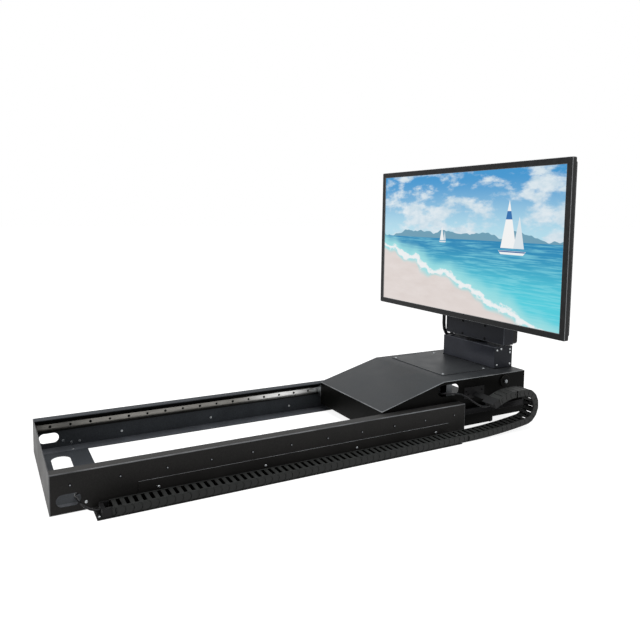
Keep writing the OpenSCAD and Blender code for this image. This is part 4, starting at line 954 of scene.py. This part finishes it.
def set_head(bm, head, base, out, radius_mm, height_mm, finish=None):
    """Stamps a head with its foot at base, standing along out."""
    turn = UP.rotation_difference(out).to_matrix().to_4x4()
    size = Matrix.Diagonal((radius_mm * MM, radius_mm * MM, height_mm * MM, 1))
    stamp(bm, head, Matrix.Translation(base) @ turn @ size, finish)


def rod(bm, a, b, diameter_mm):
    """A round shank from a to b."""
    radius = diameter_mm / 2 * MM
    made = bmesh.ops.create_cone(bm, cap_ends=True, segments=SHANK_SIDES, radius1=radius, radius2=radius,
                                 depth=(b - a).length)["verts"]
    turn = UP.rotation_difference((b - a).normalized()).to_matrix().to_4x4()
    bmesh.ops.transform(bm, matrix=Matrix.Translation((a + b) / 2) @ turn, verts=made)


print("rivets found", len(solid_boxes("rail_rivets")))

# %% [markdown]
# ## Setting the fasteners
# Screws and rivets are the small bright dots that give the black sheets their scale. A rivet has a second
# head where it was pulled, and a wall screw has a nut. Each node could be dressed by hand. Instead a table
# gives its finishes and heads, and its boxes give the rest. Screws in the carriage's sides are blackened.

# %% Fasteners
DECK_Z = 0.17  # carriage screws above this stand upright, in metres
HEAD_FRONT_X = 0.9  # head bolts nearer the TV than this look away from it, the others towards it, in metres
WIDE_HEAD = 11  # millimetres
COVER_H, WIDE_H, BOLT_H, SIDE_H = 2.4, 4, 3, 2  # heights of heads in millimetres


def facing(node, low, high):
    """The way that a fastener's head looks."""
    middle, size = (low + high) / 2, high - low
    if size.z > max(size.x, size.y) or (node == "carriage_screws" and low.z > DECK_Z):
        return UP
    if node == "head_bolts":
        return Vector((1 if middle.x < HEAD_FRONT_X else -1, 0, 0))
    return Vector((0, 1 if middle.y > 0 else -1, 0))


def own_height(node, out, width):
    """The height of a head, in a node whose heads differ."""
    if out == UP:
        return COVER_H
    if width > WIDE_HEAD:
        return WIDE_H
    return BOLT_H if node == "head_bolts" else SIDE_H


FASTENERS = {  # node: finish, second finish, slot, head, its height, shank diameter, and head at the foot
    "rail_rivets": (black_oxide, cut_steel, "steel", DOME, 2, 5, (DOME, 9, 1.5)),
    "wall_screws": (screw_zinc, black_oxide, "zinc", PAN, 2, 4, (HEX, 8, 3)),
    "carriage_screws": (screw_zinc, black_oxide, "zinc", PAN, None, 4, None),
    "column_screws": (screw_zinc, black_oxide, "zinc", PAN, 2, 4, None),
    "head_bolts": (black_oxide, black_oxide, "black_bolt", PAN, None, 6, None),
    "pivot_bolts": (cut_steel, black_oxide, "zinc", HEX, 5, 8, None),
}
for node, (material, second, slot, head, height, shank_d, foot) in FASTENERS.items():
    bm = bmesh.new()
    boxes = solid_boxes(node)
    for low, high in boxes:
        out = facing(node, low, high)
        middle, size = (low + high) / 2, high - low
        width = (size.y if node == "head_bolts" else size.x) / MM
        tall = height or own_height(node, out, width)
        reach = out * (abs(size.dot(out)) / 2)
        neck, end = middle + reach - out * tall * MM, middle - reach
        blackened = node == "carriage_screws" and out != UP
        set_head(bm, head, neck, out, width / 2, tall, 1 if blackened else None)
        rod(bm, end, neck, shank_d)
        # A rivet's tail, inside its rail, gets the deepest black: painted shade in the rail's channel. A nut
        # keeps the screw's finish.
        if foot and out != UP:
            shape, wide, thick = foot
            set_head(bm, shape, end + out * thick * MM, -out, wide / 2, thick, 2 if shape == DOME else 0)
    made = piece(node + "_set", bm, [material, second, black_coat_and_painted_shade], body_of(node), slot, node)
    print(made.name, len(boxes), "fasteners")

# %% [markdown]
# ## Support rollers
# Two polyurethane wheels carry the outer end of the carriage. A cylinder has no rounded tread and no hub,
# so the half outline of a wheel is spun once round its axle. The full spin merges its seam.

# %% Support rollers
TREAD_HALF = 11
WHEEL_STEPS = 32


def wheel(bm, low, high):
    """A wheel with a rounded tread between low and high, which are its box with the axle."""
    middle = (low + high) / 2
    _, axle, radius = (high - low) / 2 / MM
    outline = [(0, -axle), (3.4, -axle), (4, 0.6 - axle), (4, 1 - TREAD_HALF), (7, 1 - TREAD_HALF),
               (7.6, -TREAD_HALF), (radius - 2, -TREAD_HALF), (radius - 0.5, 0.8 - TREAD_HALF),
               (radius, 3 - TREAD_HALF)]  # distance from the axle and place along it, in millimetres
    outline += [(r, -y) for r, y in reversed(outline)]
    verts = [bm.verts.new(middle + Vector((r, y, 0)) * MM) for r, y in outline]
    edges = [bm.edges.new(pair) for pair in zip(verts, verts[1:])]
    bmesh.ops.spin(bm, geom=verts + edges, cent=middle, axis=(0, 1, 0), angle=2 * math.pi, steps=WHEEL_STEPS,
                   use_merge=True)


roller_bm = bmesh.new()
for low, high in solid_boxes("support_rollers"):
    wheel(roller_bm, low, high)
bmesh.ops.remove_doubles(roller_bm, verts=roller_bm.verts, dist=SAME_PLACE)
bmesh.ops.recalc_face_normals(roller_bm, faces=roller_bm.faces)
rollers = piece("support_rollers_turned", roller_bm, [tread_pu], "rollers", "black_plastic",
                "support_rollers")
print(rollers.name, len(rollers.data.polygons), "faces")

# %% [markdown]
# ## Vents on the back of the TV
# A TV's back has rows of vents above its electronics. They could be cut through the shell. From outside a
# slot between two ribs looks the same, so low ribs are set on the shell, each a rounded bar, and repeated
# in rows.

# %% Vents
RIB_HALF, RIB_ROOT, RIB_H, RIB_EDGE = 2.2, 0.5, 0.9, 0.6  # half width, depth in the shell, height, rounding
RIB_PITCH = 9
shell_low, shell_high = corners("tv_rear_shell")
box_low, box_high = corners("tv_rear_box")
VENTS = (  # outer side, first rib, pitch, number of ribs, foot, top
    (shell_high.x, -120, -RIB_PITCH, 34, shell_high.z - 92, shell_high.z - 52),
    (shell_high.x, 120, RIB_PITCH, 34, shell_high.z - 92, shell_high.z - 52),
    (box_high.x, -330, RIB_PITCH, 24, box_low.z + 22, box_low.z + 48),
)


def rounded_bar(bm, low, high, width_mm):
    """A box between two corners in millimetres, with rounded edges."""
    edges = block(bm, [c * MM for c in low], [c * MM for c in high])
    bmesh.ops.bevel(bm, geom=edges, offset=width_mm * MM, affect="EDGES", segments=2, profile=0.5,
                    material=-1)


back_bm = bmesh.new()
for x, first, pitch, count, foot, top in VENTS:
    for i in range(count):
        y = first + pitch * i
        rounded_bar(back_bm, (x - RIB_ROOT, y - RIB_HALF, foot), (x + RIB_H, y + RIB_HALF, top), RIB_EDGE)
vents = piece("tv_back_vents", back_bm, [tv_abs], "head", "tv_black")
print(vents.name, len(vents.data.polygons), "faces")

# %% [markdown]
# ## Sockets, screws and a plug
# The TV's lower box has a row of sockets, screws hold its shell along the rim, and a mast made of tube is
# closed by a plug. Sockets could be hollow, but a metal shell that stands out a little is all that shows
# from here. The screws are the pan head from before.

# %% Sockets, screws and plug
SOCKETS = ((250, 15), (274, 15), (302, 22), (334, 12), (358, 12))  # place along Y and width in millimetres
SOCKET_Z = (24, 31)  # foot and top above the lower edge of the box
SOCKET_ROOT, SOCKET_H = 1, 0.7  # depth in the box and height over it
socket_bm = bmesh.new()
for y, wide in SOCKETS:
    rounded_bar(socket_bm, (box_high.x - SOCKET_ROOT, y - wide / 2, box_low.z + SOCKET_Z[0]),
                (box_high.x + SOCKET_H, y + wide / 2, box_low.z + SOCKET_Z[1]), 0.5)
sockets = piece("tv_sockets", socket_bm, [cut_steel], "head", "steel")

SCREW_INSET, SCREW_ROOM = 12, 8  # from the shell's edge, and kept free round the lower box
SCREW_R, SCREW_H = 3.5, 1.6
screw_bm = bmesh.new()
for y in range(-440, 441, 110):
    for z in (shell_low.z + SCREW_INSET, shell_high.z - SCREW_INSET):
        beside = box_low.y - SCREW_ROOM < y < box_high.y + SCREW_ROOM
        if not (beside and box_low.z - SCREW_ROOM < z < box_high.z + SCREW_ROOM):
            set_head(screw_bm, PAN, Vector((shell_high.x, y, z)) * MM, Vector((1, 0, 0)), SCREW_R, SCREW_H)
back_screws = piece("tv_back_screws", screw_bm, [black_oxide], "head", "black_bolt")

mast_low, mast_high = corners("mast")
PLUG_ROOT, PLUG_H = 0.5, 2  # depth in the mast and height over it
plug_bm = bmesh.new()
rounded_bar(plug_bm, (mast_low.x, mast_low.y, mast_high.z - PLUG_ROOT),
            (mast_high.x, mast_high.y, mast_high.z + PLUG_H), 0.8)
plug = piece("mast_plug", plug_bm, [box_abs], "head", "black_plastic")
print([(made.name, len(made.data.polygons)) for made in (sockets, back_screws, plug)])

# %% [markdown]
# ## The picture on the screen
# The screen is lit and shows a bright coast. A bitmap can't be used, and would be somebody's picture. So a
# plain one of its own is painted with nodes, from the back to the front: sky and clouds, hills across the
# bay, a sea that pales towards the shore, foam, sand, and sailing boats. Each row of the table is one node:
# its name, its kind, its settings, its inputs and the output that is used. An input can name an earlier row
# or be a colour. Places are in metres from the middle of the panel, across to the right and up.

# %% Layers of the picture
EASE = {"interpolation_type": "SMOOTHSTEP"}
PAINT = {"data_type": "RGBA"}
MINUS, PLUS, TIMES_PLUS, SMALLER, UNSIGNED = ({"operation": name} for name in (
    "SUBTRACT", "ADD", "MULTIPLY_ADD", "MINIMUM", "ABSOLUTE"))
HORIZON = 0.015
screen_low, screen_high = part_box("tv_screen")
GRAINS = {  # name: seed, width and height of the grain in millimetres, detail
    "cloud": (1.7, 150, 62, 7), "billow": (6.4, 46, 26, 5), "hill": (4.1, 170, 1e6, 3),
    "ripple": (2.6, 120, 7, 4), "bay": (5.5, 210, 210, 2), "foam": (7.7, 40, 24, 5), "grain": (3.3, 9, 5, 3),
    "dune": (9.1, 130, 34, 3),
}
LAYERS = [
    ("plane", "Mapping", {}, {"Vector": "place", "Location": (0, 0, -(screen_low.z + screen_high.z) / 2),
                              "Scale": (0, -1, 1)}, 0),
    ("across", "SeparateXYZ", {}, {0: "plane"}, 1),
    ("up", "SeparateXYZ", {}, {0: "plane"}, 2),
]
for name, (seed, wide_mm, high_mm, detail) in GRAINS.items():
    LAYERS += [
        (name + "_plane", "Mapping", {}, {"Vector": "plane", "Location": (seed, 0, 0),
                                          "Scale": (1, 1000 / wide_mm, 1000 / high_mm)}, 0),
        (name + "_noise", "TexNoise", {}, {"Vector": name + "_plane", "Scale": 1.0, "Detail": detail,
                                           "Roughness": 0.58}, 0),
    ]
LAYERS += [
    # Sky, with clouds that are shaded by a second, finer noise
    ("height", "MapRange", EASE, {"Value": "up", "From Min": HORIZON, "From Max": 0.26}, 0),
    ("blue", "Mix", PAINT, {0: "height", 6: "#b9e2f1", 7: "#3d98d3"}, 2),
    ("cloud", "MapRange", EASE, {"Value": "cloud_noise", "From Min": 0.43, "From Max": 0.6}, 0),
    ("cloud_tone", "Mix", PAINT, {0: "billow_noise", 6: "#a4cbe0", 7: "#ffffff"}, 2),
    ("cloudy", "Mix", PAINT, {0: "cloud", 6: "blue", 7: "cloud_tone"}, 2),
    # Hills: one noise along the horizon gives their height
    ("hill_top", "Math", TIMES_PLUS, {0: "hill_noise", 1: 0.13, 2: HORIZON - 0.045}, 0),
    ("hill_over", "Math", MINUS, {0: "hill_top", 1: "up"}, 0),
    ("hill", "MapRange", EASE, {"Value": "hill_over", "From Min": -0.001, "From Max": 0.001}, 0),
    ("land", "Mix", PAINT, {0: "hill", 6: "cloudy", 7: "#6d9fb6"}, 2),
    # Sea, with long flat ripples
    ("offshore", "MapRange", EASE, {"Value": "up", "From Min": -0.2, "From Max": HORIZON}, 0),
    ("deep", "Mix", PAINT, {0: "offshore", 6: "#4fd0e0", 7: "#1a86b8"}, 2),
    ("ripple", "MapRange", EASE, {"Value": "ripple_noise", "From Min": 0.42, "From Max": 0.68,
                                  "To Max": 0.5}, 0),
    ("sea", "Mix", PAINT, {0: "ripple", 6: "deep", 7: "#8fe2ec"}, 2),
    ("below", "Math", MINUS, {0: HORIZON, 1: "up"}, 0),
    ("at_sea", "MapRange", EASE, {"Value": "below", "From Min": 0.0, "From Max": 0.0015}, 0),
    ("coast", "Mix", PAINT, {0: "at_sea", 6: "land", 7: "sea"}, 2),
    # Shore: a slanting line, bent by noise, with shallow water, foam and sand on its sides
    ("shore_line", "Math", TIMES_PLUS, {0: "across", 1: -0.28, 2: -0.235}, 0),
    ("shore", "Math", TIMES_PLUS, {0: "bay_noise", 1: 0.13, 2: "shore_line"}, 0),
    ("inland", "Math", MINUS, {0: "shore", 1: "up"}, 0),
    ("shallow", "MapRange", EASE, {"Value": "inland", "From Min": -0.075, "From Max": -0.01}, 0),
    ("lagoon", "Mix", PAINT, {0: "shallow", 6: "coast", 7: "#9fe2e6"}, 2),
    ("foam_bend", "Math", TIMES_PLUS, {0: "foam_noise", 1: 0.05, 2: -0.02}, 0),
    ("foam_off", "Math", PLUS, {0: "inland", 1: "foam_bend"}, 0),
    ("foam_away", "Math", UNSIGNED, {0: "foam_off"}, 0),
    ("foam", "MapRange", EASE, {"Value": "foam_away", "From Min": 0.012, "From Max": 0.004}, 0),
    ("surf", "Mix", PAINT, {0: "foam", 6: "lagoon", 7: "#f1f5f6"}, 2),
    ("dry", "Mix", PAINT, {0: "dune_noise", 6: "#cdbfb9", 7: "#f6f0ee"}, 2),
    ("sand", "Mix", PAINT, {0: "grain_noise", 6: "dry", 7: "#e2d8d4"}, 2),
    ("on_land", "MapRange", EASE, {"Value": "inland", "From Min": 0.0, "From Max": 0.02}, 0),
    ("scenery", "Mix", PAINT, {0: "on_land", 6: "surf", 7: "sand"}, 2),
]
print("picture rows", len(LAYERS))

# %% [markdown]
# ## Boats on the picture
# A sail or a hull is a shape whose half width grows or shrinks evenly with its height. It could be a mesh
# in front of the screen, but then it would stand off from the picture. Four numbers give it as nodes: where
# its foot is, how tall it is, its half width at the foot and how that changes. The boats add their own
# rows.

# %% Boats
SHAPES = [  # middle, foot, height, half width at the foot, change of half width per height, colour
    (0.262, -0.030, 0.014, 0.050, 0.9, "#f4f6f7"), (0.262, -0.022, 0.005, 0.056, 0.9, "#1f5f9c"),
    (0.246, -0.008, 0.170, 0.036, -0.21, "#f7f8f8"), (0.246, 0.092, 0.030, 0.0150, -0.21, "#2c6fb0"),
    (0.292, -0.008, 0.110, 0.024, -0.21, "#dfe9ef"), (-0.090, -0.002, 0.006, 0.016, 0.8, "#e8edf0"),
    (-0.094, 0.006, 0.058, 0.012, -0.2, "#f3f5f6"), (-0.078, 0.006, 0.036, 0.008, -0.2, "#c9d9e2"),
]
for i, (middle, foot, tall, half, change, colour) in enumerate(SHAPES):
    n = f"shape_{i}_"
    LAYERS += [
        (n + "height", "Math", MINUS, {0: "up", 1: foot}, 0),
        (n + "half", "Math", TIMES_PLUS, {0: n + "height", 1: change, 2: half}, 0),
        (n + "offset", "Math", MINUS, {0: "across", 1: middle}, 0),
        (n + "aside", "Math", UNSIGNED, {0: n + "offset"}, 0),
        (n + "wide", "Math", MINUS, {0: n + "half", 1: n + "aside"}, 0),
        (n + "left", "Math", MINUS, {0: tall, 1: n + "height"}, 0),
        (n + "tall", "Math", SMALLER, {0: n + "height", 1: n + "left"}, 0),
        (n + "inside", "Math", SMALLER, {0: n + "wide", 1: n + "tall"}, 0),
        (n + "mask", "MapRange", EASE, {"Value": n + "inside", "From Min": 0.0, "From Max": 0.001}, 0),
        (n + "scene", "Mix", PAINT, {0: n + "mask", 6: LAYERS[-1][0], 7: colour}, 2),
    ]
print("shapes", len(SHAPES))

# %% [markdown]
# ## The lit panel
# A panel that is switched on gives its own light, and its glass is dark. A bright paint would need a lamp
# to show. So the rows become nodes, and the last one is what the panel sends out, a little under the white
# of the ground.

# %% Lit panel
lcd, tree, place = blank("lit_lcd_panel")
made = {"place": place}
for name, kind, settings, inputs, output in LAYERS:
    wired = {}
    for socket, value in inputs.items():
        if isinstance(value, str):
            value = linear(value) if value.startswith("#") else made[value]
        wired[socket] = value
    made[name] = add(tree, kind, wired, **settings).outputs[output]
glass = add(tree, "BsdfPrincipled", {
    "Base Color": linear("#08090a"), "Roughness": 0.25, "Specular IOR Level": 0.2,
    "Emission Color": made[LAYERS[-1][0]], "Emission Strength": 0.92})
add(tree, "OutputMaterial", {"Surface": glass.outputs[0]})
print("picture nodes", len(tree.nodes))

# %% [markdown]
# ## Pieces that keep their CAD shape
# The gears and the rack sit inside. They could be remodelled too, but their teeth are already cut in CAD,
# so they only get a finish. The screen is a flat panel, and gets the picture.

# %% Finishes on CAD nodes
KEPT = {cut_steel: ("drive_rack", "traverse_pinion", "flip_pinion", "swivel_pinion", "flip_sector",
                    "swivel_gear"),
        lcd: ("tv_screen",)}
for material, nodes in KEPT.items():
    for node in nodes:
        mesh = frame["nodes"][node].data
        mesh.materials.clear()
        mesh.materials.append(material)
print("kept", sum(len(nodes) for nodes in KEPT.values()), "CAD nodes")
